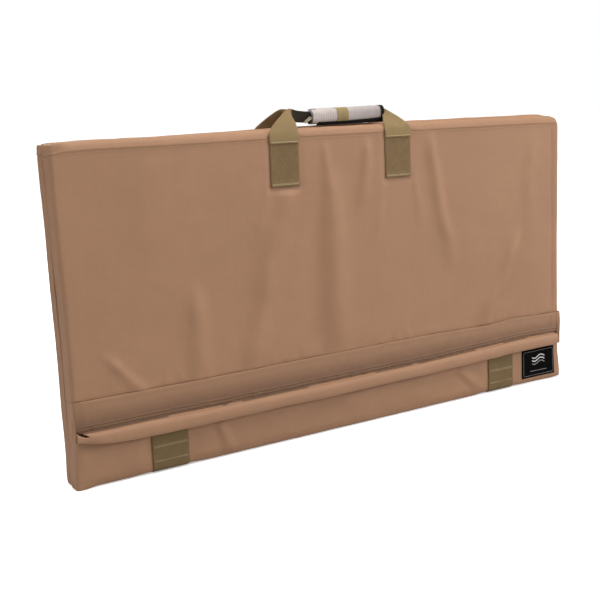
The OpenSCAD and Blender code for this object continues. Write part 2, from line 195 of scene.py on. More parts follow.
def new_mesh(name, vertices, faces, material, uv=None):
    """Smooth object with consistent normals; vertices in mm, one uv for each vertex."""
    mesh = bpy.data.meshes.new(name)
    mesh.from_pydata((np.asarray(vertices, float) * 0.001).tolist(), [], faces)
    mesh.validate()
    mesh.update()
    mesh.polygons.foreach_set("use_smooth", np.ones(len(mesh.polygons), bool))
    if uv is not None:
        layer = mesh.uv_layers.new(name="UVMap")
        index = np.zeros(len(mesh.loops), int)
        mesh.loops.foreach_get("vertex_index", index)
        layer.data.foreach_set("uv", np.asarray(uv, float)[index].ravel())
    ob = bpy.data.objects.new(name, mesh)
    bpy.context.scene.collection.objects.link(ob)
    mesh.materials.append(material)
    bm = bmesh.new()
    bm.from_mesh(mesh)
    bmesh.ops.recalc_face_normals(bm, faces=bm.faces)
    bm.to_mesh(mesh)
    bm.free()
    return ob


def vertex_values(mesh, kind):
    values = np.zeros(len(mesh.vertices) * 3, np.float32)
    mesh.vertices.foreach_get(kind, values)
    return values.reshape(-1, 3)


def set_coordinates(mesh, coordinates):
    mesh.vertices.foreach_set("co", coordinates.astype(np.float32).ravel())
    mesh.update()


def keep_above(ob, height):
    coordinates = vertex_values(ob.data, "co")
    coordinates[:, 2] = np.maximum(coordinates[:, 2], height * 0.001)
    set_coordinates(ob.data, coordinates)


def mirror_y(ob):
    """Mirrors a finished piece to the other leaf."""
    coordinates = vertex_values(ob.data, "co")
    coordinates[:, 1] *= -1
    set_coordinates(ob.data, coordinates)
    ob.data.flip_normals()
    ob.data.update()


def bake(ob):
    """Makes the modifiers part of the mesh."""
    depsgraph = bpy.context.evaluated_depsgraph_get()
    mesh = bpy.data.meshes.new_from_object(ob.evaluated_get(depsgraph))
    ob.modifiers.clear()
    ob.data = mesh


def solidify(ob, thickness, offset):
    modifier = ob.modifiers.new("thick", "SOLIDIFY")
    modifier.thickness = thickness * 0.001
    modifier.offset = offset
    modifier.use_even_offset = False
    modifier.use_rim = True
    bake(ob)


def join(name, parts):
    """Joins mesh objects into one and keeps a material slot for each."""
    materials = []
    bm = bmesh.new()
    for part in parts:
        shift, first = len(materials), len(bm.faces)
        bm.from_mesh(part.data)
        bm.faces.ensure_lookup_table()
        for face in bm.faces[first:]:
            face.material_index += shift
        materials += list(part.data.materials)
    mesh = bpy.data.meshes.new(name)
    bm.to_mesh(mesh)
    bm.free()
    for material in materials:
        mesh.materials.append(material)
    ob = bpy.data.objects.new(name, mesh)
    bpy.context.scene.collection.objects.link(ob)
    for part in parts:
        bpy.data.objects.remove(part)
    return ob


def sweep(name, rings, material, uv=None, flat_caps=False):
    """Closed solid through closed rings; the ends are fans, or single faces if flat_caps."""
    rings = np.asarray(rings, float)
    count, size = rings.shape[:2]
    index = np.arange(count * size).reshape(count, size)
    vertices = rings.reshape(-1, 3)
    faces = quads(np.column_stack([index, index[:, 0]])).tolist()
    first, last = index[0].tolist(), index[-1].tolist()
    if flat_caps:
        faces += [first, last[::-1]]
    else:
        vertices = np.vstack([vertices, rings[0].mean(0), rings[-1].mean(0)])
        for j in range(size):
            k = (j + 1) % size
            faces.append([count * size, first[j], first[k]])
            faces.append([count * size + 1, last[k], last[j]])
        if uv is not None:
            uv = uv.reshape(-1, 2)
            uv = np.vstack([uv, uv[0], uv[-1]])
    return new_mesh(name, vertices, faces, material, uv)


def attach(ob, body, replaces=None):
    """Lets a piece ride on a body and hides the CAD node it stands for."""
    if replaces:
        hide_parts(replaces)
    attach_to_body(ob, body)


# ---------------------------------------------------------------- shader helpers
def math_operator(operation, swapped=False):
    def apply(value, other):
        pair = (other, value) if swapped else (value, other)
        return node(value.tree, "Math", dict(enumerate(pair)), operation=operation)
    return apply


class Value:
    """A shader output that can be used in sums; each operation adds a Math node."""

    def __init__(self, tree, socket):
        self.tree, self.socket = tree, socket

    __add__, __radd__ = math_operator("ADD"), math_operator("ADD", swapped=True)
    __sub__, __rsub__ = math_operator("SUBTRACT"), math_operator("SUBTRACT", swapped=True)
    __mul__ = math_operator("MULTIPLY")
    above = math_operator("GREATER_THAN")
    pingpong = math_operator("PINGPONG")

    def sine(self):
        return node(self.tree, "Math", {0: self}, operation="SINE")

    def absolute(self):
        return node(self.tree, "Math", {0: self}, operation="ABSOLUTE")

    def clamped(self):
        """Clamps the Math node that gives this value to 0..1."""
        self.socket.node.use_clamp = True
        return self


def feed(tree, socket, value):
    """Links or sets one shader input."""
    if isinstance(value, Value):
        tree.links.new(value.socket, socket)
    elif socket.type == "RGBA":
        socket.default_value = (*value, 1)
    else:
        socket.default_value = value


def node(tree, kind, inputs, output=0, **settings):
    """Adds a shader node and returns one of its outputs."""
    new = tree.nodes.new("ShaderNode" + kind)
    for key, value in settings.items():
        setattr(new, key, value)
    for key, value in inputs.items():
        feed(tree, new.inputs[key], value)
    return Value(tree, new.outputs[output])


def srgb(*levels):
    """Linear colour from 8-bit sRGB levels."""
    levels = [level / 255.0 for level in levels]
    return tuple(c / 12.92 if c <= 0.04045 else ((c + 0.055) / 1.055) ** 2.4 for c in levels)


def scaled(color, factor):
    return tuple(min(1.0, c * factor) for c in color)


class Material:
    """A node material built round its Principled shader."""

    def __init__(self, name):
        self.data = bpy.data.materials.new(name)
        self.data.use_nodes = True
        self.tree = self.data.node_tree
        self.shader = self.tree.nodes["Principled BSDF"]

    def node(self, kind, inputs=None, output=0, **settings):
        return node(self.tree, kind, inputs or {}, output, **settings)

    def surface(self, inputs):
        """Feeds the Principled shader and returns the finished material."""
        for key, value in inputs.items():
            feed(self.tree, self.shader.inputs[key], value)
        return self.data

    def coordinates(self, kind="Object"):
        return self.node("TexCoord", output=kind)

    def split(self, vector):
        first = self.node("SeparateXYZ", {0: vector})
        return [Value(self.tree, socket) for socket in first.socket.node.outputs]

    def noise(self, vector, scale, detail):
        return self.node("TexNoise", {"Vector": vector, "Scale": scale, "Detail": detail})

    def stretched_noise(self, vector, scales, detail):
        vector = self.node("Mapping", {"Vector": vector, "Scale": scales})
        return self.noise(vector, scale=1.0, detail=detail)

    def shades(self, tone, color, stops):
        """Ramp over one colour; stops are (position, brightness)."""
        ramp = self.node("ValToRGB", {0: tone})
        elements = ramp.socket.node.color_ramp.elements
        while len(elements) < len(stops):
            elements.new(0.5)
        for element, (position, brightness) in zip(elements, stops):
            element.position = position
            element.color = (*scaled(color, brightness), 1)
        return ramp

    def mix(self, factor, first, second, mode="MIX"):
        return self.node("Mix", {0: factor, 6: first, 7: second}, output=2,
                         data_type="RGBA", blend_type=mode)

    def tinted(self, color, tint):
        return self.mix(1.0, color, tint, mode="MULTIPLY")

    def bump(self, height, strength, distance, normal=None):
        inputs = {"Strength": strength, "Distance": distance, "Height": height}
        if normal is not None:
            inputs["Normal"] = normal
        return self.node("Bump", inputs)


# ---------------------------------------------------------------- kinds of material
CANVAS_PITCH = 0.62                     # thread spacing, mm
RIB_PITCH = 0.00205                     # webbing rib spacing, m
TWILL_PITCH = 0.0011                    # slanting threads of the webbing, m


def canvas(name, color, roughness=0.62, sheen=0.25, specular=0.35, painted_shade=None):
    """Coated plain weave with slubs. painted_shade is (full at z, gone at z, brightness), z in
    metres: painted shade that darkens the colour below a height.
    """
    m = Material(name)
    place = m.coordinates()
    x, y, z = m.split(place)
    fall = z + y

    def wave(value):
        return (value * (PI / (CANVAS_PITCH * 0.001))).sine()

    over = wave(x) * wave(fall)
    across = wave(x).absolute()
    down = wave(fall).absolute()
    pick = over.above(0.0)
    thread = pick * across + (1.0 - pick) * down
    slub = (m.stretched_noise(place, scales=(14, 14, 1400), detail=2.0)
            + m.stretched_noise(place, scales=(1400, 60, 14), detail=2.0))
    broad = m.noise(place, scale=7.0, detail=3.0)
    medium = m.noise(place, scale=45.0, detail=4.0)
    fine = m.noise(place, scale=900.0, detail=2.0)
    # weights of the dye variation, from broad patches down to threads
    tone = broad * 0.22 + medium * 0.16 + slub * 0.16 + fine * 0.10 + thread * 0.10
    base = m.shades(tone, color, [(0.22, 0.84), (0.45, 1.0), (0.66, 1.17)])
    # raised edges are worn pale
    wear = ((m.node("NewGeometry", output="Pointiness") - 0.515) * 9.0).clamped()
    wear = wear * (medium + 0.2)
    base = m.mix((wear * 0.55).clamped(), base, scaled(color, 1.5))
    # painted shade: the colour darkens below a height, standing for the shade in the crease above
    # the skirt's roll
    if painted_shade:
        low, high, dark = painted_shade
        shade_amount = ((high - z) * (1 / (high - low))).clamped()
        shade_amount = (shade_amount * (0.75 + medium * 0.5)).clamped()
        # the painted shade is slightly warm
        base = m.mix(shade_amount, base, m.tinted(base, (dark, dark * 0.97, dark * 0.94)))
    wrinkles = m.bump(m.noise(place, scale=120.0, detail=3.0), strength=0.12, distance=0.0012)
    slubs = m.bump(slub, strength=0.12, distance=0.0004, normal=wrinkles)
    return m.surface({
        "Base Color": base,
        "Roughness": roughness - 0.06 + medium * 0.14,
        "Specular IOR Level": specular,
        "Sheen Weight": sheen,
        "Sheen Roughness": 0.45,
        "Sheen Tint": scaled(color, 1.8),
        "Normal": m.bump(thread, strength=0.35, distance=0.00022, normal=slubs),
    })


def webbing(name, color):
    """Heavy ribbed webbing: UV x runs across the strap and y along it, both in metres."""
    m = Material(name)
    place = m.coordinates()
    across, along, _ = m.split(m.coordinates("UV"))
    ribs = (across * (2 * PI / RIB_PITCH)).sine()
    slant = along + across.pingpong(RIB_PITCH) * 0.9
    twill = (slant * (2 * PI / TWILL_PITCH)).sine()
    thread = ribs.absolute() * 0.7 + twill.absolute() * 0.5
    fuzz = m.noise(place, scale=1500.0, detail=3.0)
    medium = m.noise(place, scale=90.0, detail=4.0)
    broad = m.noise(place, scale=12.0, detail=2.0)
    tone = thread * 0.26 + medium * 0.30 + fuzz * 0.20 + broad * 0.2
    base = m.shades(tone, color, [(0.28, 0.66), (0.56, 1.0), (0.85, 1.32)])
    fuzz_bump = m.bump(fuzz, strength=0.25, distance=0.0002)
    return m.surface({
        "Base Color": base,
        "Roughness": 0.73 + fuzz * 0.12,
        "Specular IOR Level": 0.25,
        "Sheen Weight": 0.35,
        "Sheen Roughness": 0.5,
        "Sheen Tint": scaled(color, 1.9),
        "Normal": m.bump(thread, strength=0.55, distance=0.00045, normal=fuzz_bump),
    })


def plain_cloth(name, color, roughness=0.8, ribs=None, bump=0.4, sheen=0.3, variation=0.2,
                specular=0.25, shade_along_x=None):
    """Fuzzy cloth. ribs is the rib pitch in mm.

    shade_along_x is painted shade along x: (from x, to x, brightness there, brightness here), x in
    metres.
    """
    m = Material(name)
    place = m.coordinates()
    if ribs or shade_along_x:
        x, y, z = m.split(place)
    medium = m.noise(place, scale=120.0, detail=4.0)
    fuzz = m.noise(place, scale=1700.0, detail=3.0)
    broad = m.noise(place, scale=25.0, detail=2.0)
    tone = medium * 0.4 + fuzz * 0.3 + broad * 0.3
    base = m.shades(tone, color, [(0.3, 1 - variation), (0.5, 1.0), (0.7, 1 + variation)])
    # painted shade: the colour darkens from one x to another
    if shade_along_x:
        start, end, near, far = shade_along_x
        part = ((x - start) * (1 / (end - start))).clamped()
        base = m.mix(part, m.tinted(base, (near,) * 3), m.tinted(base, (far,) * 3))
    height = fuzz
    if ribs:
        rate = PI / (ribs * 0.001)
        across = (x * rate).sine().absolute()
        down = ((z + y) * rate).sine().absolute()
        height = across * down * 0.8 + fuzz * 0.4
    return m.surface({
        "Base Color": base,
        "Roughness": roughness - 0.05 + medium * 0.1,
        "Specular IOR Level": specular,
        "Sheen Weight": sheen,
        "Sheen Roughness": 0.5,
        "Normal": m.bump(height, strength=bump, distance=0.0003),
    })


def metal(name, color, roughness, grain):
    """Brushed metal; grain is the density of the streaks along x, y and z."""
    m = Material(name)
    place = m.coordinates()
    streak = m.stretched_noise(place, scales=tuple(g * 40 for g in grain), detail=4.0)
    spots = m.noise(place, scale=140.0, detail=4.0)
    return m.surface({
        "Base Color": m.shades(streak * 0.5 + spots * 0.5, color,
                               [(0.3, 0.8), (0.55, 1.0), (0.75, 1.12)]),
        "Metallic": 1.0,
        "Roughness": roughness - 0.1 + streak * 0.25,
        "Normal": m.bump(streak, strength=0.12, distance=0.0001),
    })


def plastic(name, color, roughness):
    m = Material(name)
    place = m.coordinates()
    grain = m.noise(place, scale=1200.0, detail=3.0)
    medium = m.noise(place, scale=60.0, detail=3.0)
    return m.surface({
        "Base Color": m.shades(medium, color, [(0.3, 0.8), (0.6, 1.0), (0.8, 1.3)]),
        "Roughness": roughness - 0.08 + grain * 0.2,
        "Normal": m.bump(grain, strength=0.3, distance=0.00015),
    })


# ---------------------------------------------------------------- materials
TAN = srgb(153, 115, 87)
SEAT_CANVAS = canvas("tan_canvas", TAN)
BACK_CANVAS = canvas("tan_canvas_rear", scaled(TAN, 0.95))
# the skirt band carries painted shade, darker towards the roll below it
SKIRT_CLOTH = canvas("tan_skirt", scaled(TAN, 0.88), roughness=0.6, sheen=0.15,
                     painted_shade=(0.085, 0.112, 0.56))
ROLL_CLOTH = canvas("tan_roll", scaled(TAN, 1.03), roughness=0.55)
# painted shade: a near-black copy of the canvas for the inside of the sleeve's open end
FOLD_SHADE = canvas("tan_painted_shade_slot", scaled(TAN, 0.16), roughness=0.9, sheen=0.0,
                    specular=0.1)
LINING = canvas("tan_lining", scaled(TAN, 0.86), roughness=0.7)
TAN_THREAD = plain_cloth("tan_thread", srgb(168, 132, 102), roughness=0.6, bump=0.2)
PALE_THREAD = plain_cloth("pale_thread", srgb(186, 168, 128), roughness=0.6, bump=0.2)
OLIVE_WEB = webbing("olive_webbing", srgb(119, 96, 65))
LOW_WEB = webbing("olive_webbing_low", srgb(113, 93, 62))
# painted shade: a near-black copy of the webbing for the shaded fold beside the grip
PAINTED_SHADE_WEB = webbing("olive_webbing_painted_shade", srgb(44, 37, 28))
FREE_WEB = webbing("olive_webbing_free", srgb(137, 115, 79))
WEB_THREAD = plain_cloth("webbing_thread", srgb(146, 126, 92), roughness=0.7, bump=0.2)
KEEPER_WEB = webbing("keeper_webbing", srgb(155, 135, 94))
LIP_WEB = webbing("strap_lip", srgb(150, 136, 112))
# the grip is painted darker towards its +x end as shade
GRIP_CLOTH = plain_cloth("grip_cloth", srgb(182, 170, 166), roughness=0.72, ribs=1.1,
                         bump=0.35, sheen=0.4, variation=0.12,
                         shade_along_x=(-0.044, 0.084, 1.0, 0.64))
BINDING = plain_cloth("black_binding", srgb(19, 17, 16), ribs=0.9, bump=0.5, sheen=0.03,
                      specular=0.1)
BLACK_PATCH = plain_cloth("black_patch", srgb(9, 8, 8), roughness=0.9, ribs=0.7, bump=0.3,
                          sheen=0.0, specular=0.05)
WHITE_THREAD = plain_cloth("white_thread", srgb(205, 203, 200), roughness=0.7, ribs=0.7)
GREY_THREAD = plain_cloth("grey_thread", srgb(120, 116, 114), roughness=0.7, ribs=0.7)
SLING_MESH = plain_cloth("sling_mesh", srgb(92, 86, 62), ribs=2.2, bump=1.0)
DRAWN_TUBE = metal("drawn_tube", (0.72, 0.72, 0.74), roughness=0.34, grain=(1, 60, 60))
ZINC = metal("zinc_steel", (0.60, 0.60, 0.62), roughness=0.38, grain=(30, 30, 30))
NYLON = plastic("black_nylon", (0.018, 0.018, 0.02), roughness=0.5)
HOOK_TAPE = plain_cloth("hook_strip", srgb(34, 32, 32), roughness=0.9, ribs=1.4, bump=1.0)

# ---------------------------------------------------------------- stitches
# a stitch is five rings of six vertices and two tips: (place along it, share of the radius)
STITCH_PROFILE = [(-0.5, 0.30), (-0.36, 0.85), (0.0, 1.0), (0.36, 0.85), (0.5, 0.30)]
STITCH_SIDES = [(q, (q + 1) % 6) for q in range(6)]
STITCH_FACES = [[i * 6 + q, i * 6 + r, i * 6 + 6 + r, i * 6 + 6 + q]
                for i in range(4) for q, r in STITCH_SIDES]
for q, r in STITCH_SIDES:
    STITCH_FACES += [[30, r, q], [31, 24 + q, 24 + r]]


def stitches(name, lines, material, length, gap, radius, lift=0.12):
    """Capsule stitches along lines, each (path, outward normals or one normal)."""
    vertices, faces = [], []
    for path, normals in lines:
        normals = np.broadcast_to(np.asarray(normals, float), path.shape)
        distance = arc_length(path)
        total = distance[-1]

        def sample(values, at):
            return np.array([np.interp(at, distance, values[:, k]) for k in range(3)])

        count = max(1, int(total / (length + gap)))
        for centre in (np.arange(count) + 0.5) * total / count:
            start = sample(path, max(0, centre - length / 2))
            end = sample(path, min(total, centre + length / 2))
            along = unit(end - start)
            normal = sample(normals, centre)
            normal = unit(normal - along * (normal @ along))
            side = np.cross(along, normal)
            base = len(vertices)
            for t, share in STITCH_PROFILE:
                drop = -abs(t) * 2 * radius * 0.9
                middle = start + (end - start) * (t + 0.5)
                for q in range(6):
                    up = lift + drop + math.sin(q * PI / 3) * radius * share * 0.8
                    out = math.cos(q * PI / 3) * radius * share
                    vertices.append(middle + normal * up + side * out)
            tip = normal * (lift - radius * 0.9)
            vertices += [start + tip, end + tip]
            faces += [[base + i for i in face] for face in STITCH_FACES]
    return new_mesh(name, vertices, faces, material)


# ---------------------------------------------------------------- folds of the covers
# each row: start x, z, end x, z, width, height, lean to one side, wander
FRONT_FOLDS = [
    (-36, 392, -39, 108, 26, 4.9, 0.8, 3), (162, 462, 208, 236, 13, 2.9, -0.5, 4),
    (-97, 398, -156, 226, 19, 4.8, -0.4, 3), (-142, 262, -182, 108, 18, 4.6, -0.4, 3),
    (-258, 250, -259, 108, 17, 3.5, -0.5, 5), (-408, 176, -338, 110, 9, 2.0, -0.5, 3),
    (356, 270, 274, 112, 15, 4.4, -0.6, 4), (-44, 446, -40, 350, 9, 1.3, 0.7, 3),
    (48, 452, 26, 336, 11, 2.6, -0.7, 3), (-140, 384, -165, 310, 10, 0.8, 0.6, 4),
    (128, 384, 140, 300, 9, 0.9, 0.6, 4), (70, 384, 52, 280, 9, 0.9, -0.6, 4),
    (390, 430, 372, 250, 18, 1.2, 0.8, 6), (-330, 440, -350, 300, 24, 0.9, 0.5, 6),
]
LOWER_FRONT_FOLDS = [
    (-245, 56, -228, 8, 9, 1.8, 0.8, 2), (210, 52, 262, 10, 9, 1.7, 0.9, 2),
]
REAR_FOLDS = [
    (-60, 420, -20, 160, 18, 1.2, 0.8, 9), (300, 430, 250, 150, 20, 1.4, -0.8, 9),
    (-330, 400, -300, 110, 22, 1.4, 0.8, 9), (-200, 300, -60, 90, 14, 0.9, 0.6, 9),
    (120, 280, 190, 100, 14, 0.9, -0.6, 9),
]


def folds(x, z, table, noise):
    """Height of the soft ridges of a table."""
    total = 0.0
    for x0, z0, x1, z1, width, height, lean, wander in table:
        length = math.hypot(x1 - x0, z1 - z0)
        ux, uz = (x1 - x0) / length, (z1 - z0) / length
        along = (x - x0) * ux + (z - z0) * uz
        across = (z - z0) * ux - (x - x0) * uz
        across = across + wander * noise.at(along / 70.0 + x0, across / 160.0)
        t = along / length
        across = across / (width * (0.75 + 0.5 * np.clip(t, 0, 1)))
        taper = ease(-0.12, 0.25, t) * (1 - ease(0.7, 1.12, t))
        ridge = np.exp(-across ** 2)
        total = total + 1.4 * height * taper * ridge * (1 + lean * across * 1.6)
    return total


def front_height(x, z):
    noise = FRONT_NOISE
    height = 0.55 * noise.layered(x / 150.0, z / 130.0, 2)
    height = height + 0.26 * noise.layered(x / 36.0 + 5, z / 34.0, 3)
    # small puckers where the skirt seam draws the cloth
    height = height + 0.75 * noise.at(x / 11.0 + 60, z / 26.0) * bell(z, 128, 9.0)
    return height + folds(x, z, FRONT_FOLDS, noise)


def rear_height(x, z):
    noise = REAR_NOISE
    height = 0.8 * noise.layered(x / 140.0, z / 120.0, 2)
    height = height + 0.2 * noise.layered(x / 32.0 + 5, z / 30.0, 3)
    return height + folds(x, z, REAR_FOLDS, noise)


def near_box(x, z, x0, x1, z0, z1, soft):
    """1 inside a rectangle, fading to 0 at the distance soft outside it."""
    dx = np.maximum(np.maximum(x0 - x, x - x1), 0)
    dz = np.maximum(np.maximum(z0 - z, z - z1), 0)
    return 1 - ease(0, soft, np.hypot(dx, dz))


def near_strap(x, z, centre, width, z0, z1, soft):
    return near_box(x, z, centre - width / 2 - 1, centre + width / 2 + 1, z0, z1, soft)


def top_drop(x):
    """How far the upper edge sinks at the soft hinge end."""
    return -1.2 * ease(-400, -446, x) - 2.6 * ease(-444, -459, x)


# ---------------------------------------------------------------- covers
SPINE, BEND, FACE = 0, 1, 2             # zones of a cover, from the hinge end
SPINE_OUT = 8.0                         # spine beyond the hinge axis, in x
SPINE_HALF = 15.0                       # half of the spine that a cover brings, in y
ROLL_STEPS, TURN_IN_STEPS = 16, 5       # rows round a rolled edge and on the strip inside
TURN_IN = (20.0, 9.0, 10.0)             # strip at the hinge end, for each zone
INNER_STRIP = 10.6
EDGE_POWER = 0.62                       # squareness of the rolled edges


def merged(gap, *groups):
    """Sorted values of all groups, less those within gap after another; the ends stay."""
    values = sorted(set(np.round(np.concatenate(groups), 2)))
    ends = (0, len(values) - 1)
    return [v for k, v in enumerate(values) if k in ends or v - values[k - 1] > gap]


def leaf_columns(rear, step):
    """Stations from the spine to the free end: x, y, inward x, inward y, zone."""
    columns = [(HINGE_X - SPINE_OUT, -2.0 - SPINE_HALF * k / 14.0, 1.0, 0.0, SPINE)
               for k in range(14)]
    for k in range(10):
        angle = PI / 2 * (1 - k / 10.0)
        sin, cos = math.sin(angle), math.cos(angle)
        columns.append((HINGE_X - SPINE_OUT * boxy(sin, 0.72),
                        -HINGE_Y - 7.3 * boxy(cos, 0.72), sin, cos, BEND))
    count = int(round((FLAT_END - HINGE_X) / step)) + 1
    groups = [np.linspace(HINGE_X, FLAT_END, count),
              np.arange(FLAT_END - 12, FLAT_END + 0.01, 0.8)]
    if not rear:
        groups.append([centre + half + d for centre in TAB_XS
                       for half in (-TAB_WIDTH / 2, TAB_WIDTH / 2) for d in (-1.2, 0, 1.2)])
    for x in merged(0.35, *groups):
        columns.append((x, FACE_Y - 0.3 * (1 - ease(HINGE_X, -425, x)), 0.0, 1.0, FACE))
    return np.array(columns)


def leaf_rows(step):
    count = int(round((FLAT_TOP - FLAT_BOTTOM) / step)) + 1
    return np.array(merged(0.3, np.linspace(FLAT_BOTTOM, FLAT_TOP, count),
                           np.arange(FLAT_TOP - 7, FLAT_TOP, 0.7), np.arange(116, 126, 0.8)))


def rounded_corners(flat_x, flat_z, face, rear):
    """Bends the free corners: angle already turned, pivot x and z, outward x and z, squareness."""
    turn = np.zeros_like(flat_x)
    pivot_x, pivot_z = flat_x, flat_z
    out_x, out_z = np.zeros_like(flat_x), np.zeros_like(flat_x)
    for radius, end in ((2.0, -1), (7.0, 1)):       # lower corner, upper corner
        centre_x = FLAT_END - radius
        centre_z = FLAT_BOTTOM + radius if end < 0 else FLAT_TOP - radius
        dx, dz = flat_x - centre_x, (flat_z - centre_z) * end
        reach = np.hypot(dx, dz)
        corner = (dx > 0) & (dz > 0) & face
        beyond = corner & (reach > radius)
        turn = np.where(beyond, (reach - radius) / EDGE_R, turn)
        ux, uz = dx / np.maximum(reach, 1e-9), dz * end / np.maximum(reach, 1e-9)
        pivot_x = np.where(beyond, centre_x + ux * radius, pivot_x)
        pivot_z = np.where(beyond, centre_z + uz * radius, pivot_z)
        out_x = np.where(corner, ux, out_x)
        out_z = np.where(corner, uz, out_z)
    power = EDGE_POWER + (1 - EDGE_POWER) * np.maximum(out_z, 0) ** 2
    largest = np.maximum(np.maximum(np.abs(out_x), np.abs(out_z)), 0.7)
    slanting = (np.abs(out_x) > 1e-9) & (np.abs(out_z) > 1e-9)
    sharpness = np.where(out_z < 0, 0.85, 0.85 if rear else 0.5)
    stretch = np.where(slanting, largest ** -sharpness, 1.0)
    return turn, pivot_x, pivot_z, out_x * stretch, out_z * stretch, power


def rolled_strip(column, pivot, outward, turned, at_end):
    """One strip across the rolled edge and the turn-in: points and angles."""
    x, _, inward_x, inward_y, zone = column
    inward = np.array([inward_x, inward_y, 0.0])
    on_face = zone == FACE
    full = 1.0 if at_end else ease(-450, -434, x) if on_face else 0.0
    last_angle = PI / 2 + PI / 2 * full
    depth = 0.12 + 0.88 * (ease(-446, -428, x) if on_face else 0.0)
    angles = turned + (last_angle - turned) * np.arange(1, ROLL_STEPS + 1) / ROLL_STEPS
    power = EDGE_POWER + (1 - EDGE_POWER) * min(1.0, max(outward[2], 0.0)) ** 2
    roll = (pivot + inward * (EDGE_R * depth * (1 - boxy(np.cos(angles), power)))[:, None]
            + outward * (EDGE_R * boxy(np.sin(angles), power))[:, None])
    run = inward * (1 - full) * TURN_IN[int(zone)] - outward * INNER_STRIP * full
    strip = roll[-1] + run * (np.arange(1, TURN_IN_STEPS + 1) / TURN_IN_STEPS)[:, None]
    return np.vstack([roll, strip]), np.append(angles, [last_angle] * TURN_IN_STEPS)


def leaf_relief(x, z, y, core, face, lap, rear):
    """Height of folds and seams over a cover; x and z are places on the unrolled face."""
    height = (rear_height if rear else front_height)(x, z)
    inset = np.minimum(np.minimum(z - FLAT_BOTTOM, FLAT_TOP - z), FLAT_END - x)
    height = height * ease(-2, 26, inset * core)
    # the tube sleeve along the upper edge and its seam
    height = height + core * (0.75 * ease(TOP_SEAM - 0.4, TOP_SEAM + 2.6, z)
                              - 0.40 * bell(z, TOP_SEAM, 1.2))
    height = height - face * (0.5 * ease(TOP_SEAM - 40, TOP_SEAM - 4, z)
                              * (1 - ease(TOP_SEAM - 4, TOP_SEAM, z)))
    # two sewn lines beside the free end
    band = ease(FLAT_TOP - 4, FLAT_TOP - 12, z) * (ease(16, 30, z) if rear else ease(122, 130, z))
    grooves = 0.8 * bell(x, END_SEAMS[0], 0.9) + 0.8 * bell(x, END_SEAMS[1], 0.9)
    height = height + band * face * (
        0.35 * ease(FREE_END - 20.4, FREE_END - 17.4, x) - grooves)
    if not rear:
        # the face stays flat under the skirt
        hidden = ease(56, 64, z) * (1 - ease(116, 124, z))
        height = height * (1 - hidden) - 0.2 * hidden
        # crease round the folding end, level with the skirt seam
        height = height - ((x < -449) & (z > 60)) * 0.9 * bell(z, 121.0, 1.4)
        # loose cloth below the skirt
        low = face * (1 - ease(50, 60, z))
        bulge = (1.6 + 1.3 * FRONT_NOISE.layered(x / 60.0 + 40, z / 40.0, 2)
                 + folds(x, z, LOWER_FRONT_FOLDS, FRONT_NOISE))
        for centre in ANCHOR_XS:
            bulge = bulge * (1 - near_strap(x, z, centre, ANCHOR_WIDTH, 0, 60, 22))
        bulge = bulge * (1 - near_box(x, z, label_low[0], label_high[0], 0, 60, 14))
        height = height * (1 - low) + low * np.maximum(bulge, -0.4) * ease(0, 12, z - BOTTOM)
        height = np.where(x > 346, height * (1 - low), height)
    for centre in TAB_XS:
        near = near_strap(x, z, centre, TAB_WIDTH, TAB_FOOT - 2, 480, 10)
        height = height * (1 - near) - 0.9 * near * face
    for centre in BAR_XS:
        near = near_box(x, z, centre - 8, centre + 8, 20, 440, 16)
        height = np.where(height < -0.6, height * (1 - near) - 0.6 * near, height)
    if rear:
        for centre in ANCHOR_XS:
            height = height * (1 - near_strap(x, z, centre, ANCHOR_WIDTH, 0, 101, 12))
        for x0, most in ((150, 0.2), (-165, 1.8)):
            near = near_box(x, z, x0, 245, 80, 385, 20)
            height = np.minimum(height, height * (1 - near) + most * near)
    else:
        # lapped lower corner of the folding end
        height = height - (x < HINGE_X - 1) * (z < 96) * 1.5 * bell(y, lap, 1.2)
    return height


def settle(vertices, flat_x, lap, rear):
    """Lets a cover lean, crown and hang, in place."""
    x, y, z = vertices.T
    # the folding end leans out towards its top
    x -= 4.6 * ease(150, 470, z) * ease(-395, -452, x)
    if not rear:
        # the lower corners of the seat cover stand out
        flare = (0.5 + 2.4 * (1 - ease(0, 62, z))) * (1 - ease(66, 88, z))
        x -= flare * np.where(flat_x < HINGE_X - 1, ease(-1.4, 1.4, lap - y),
                              ease(-430, -450, x))
        low = 1 - ease(0, 58, z)
        y -= 2.6 * low * ease(385, 456, x) * (1 - ease(-14, -4, y))
        x += 2.4 * low * ease(430, 456, x) * (1 - ease(-14, -4, y))
    # the upper edge sinks at the hinge end and crowns in the middle
    crown, fall = (4.6, 0.1) if rear else (2.0, 0.7)
    lift = top_drop(x) * ease(FLAT_TOP - 50, FLAT_TOP + 6, z)
    lift = lift + (crown * ease(-330, 0, x) * (1 - fall * ease(390, 470, x))
                   * ease(FLAT_TOP - 60, FLAT_TOP + 8, z))
    z += lift
    # the free end draws in between its corners
    bow = np.sin(np.clip((z - BOTTOM) / (TOP - BOTTOM), 0, 1) * PI)
    x -= 1.1 * bow * ease(FLAT_END - 8, FLAT_END + 6, x)
    # the lower edge hangs between the straps
    hang = 1.5
    for centre in ANCHOR_XS:
        half = ANCHOR_WIDTH / 2 + 4
        hang = hang * (1 - 0.9 * near_box(x, 0 * x, centre - half, centre + half, -1, 1, 30))
    z -= hang * (1 - ease(BOTTOM + 1, BOTTOM + 16, z))
    z[:] = np.maximum(z, 0.15)


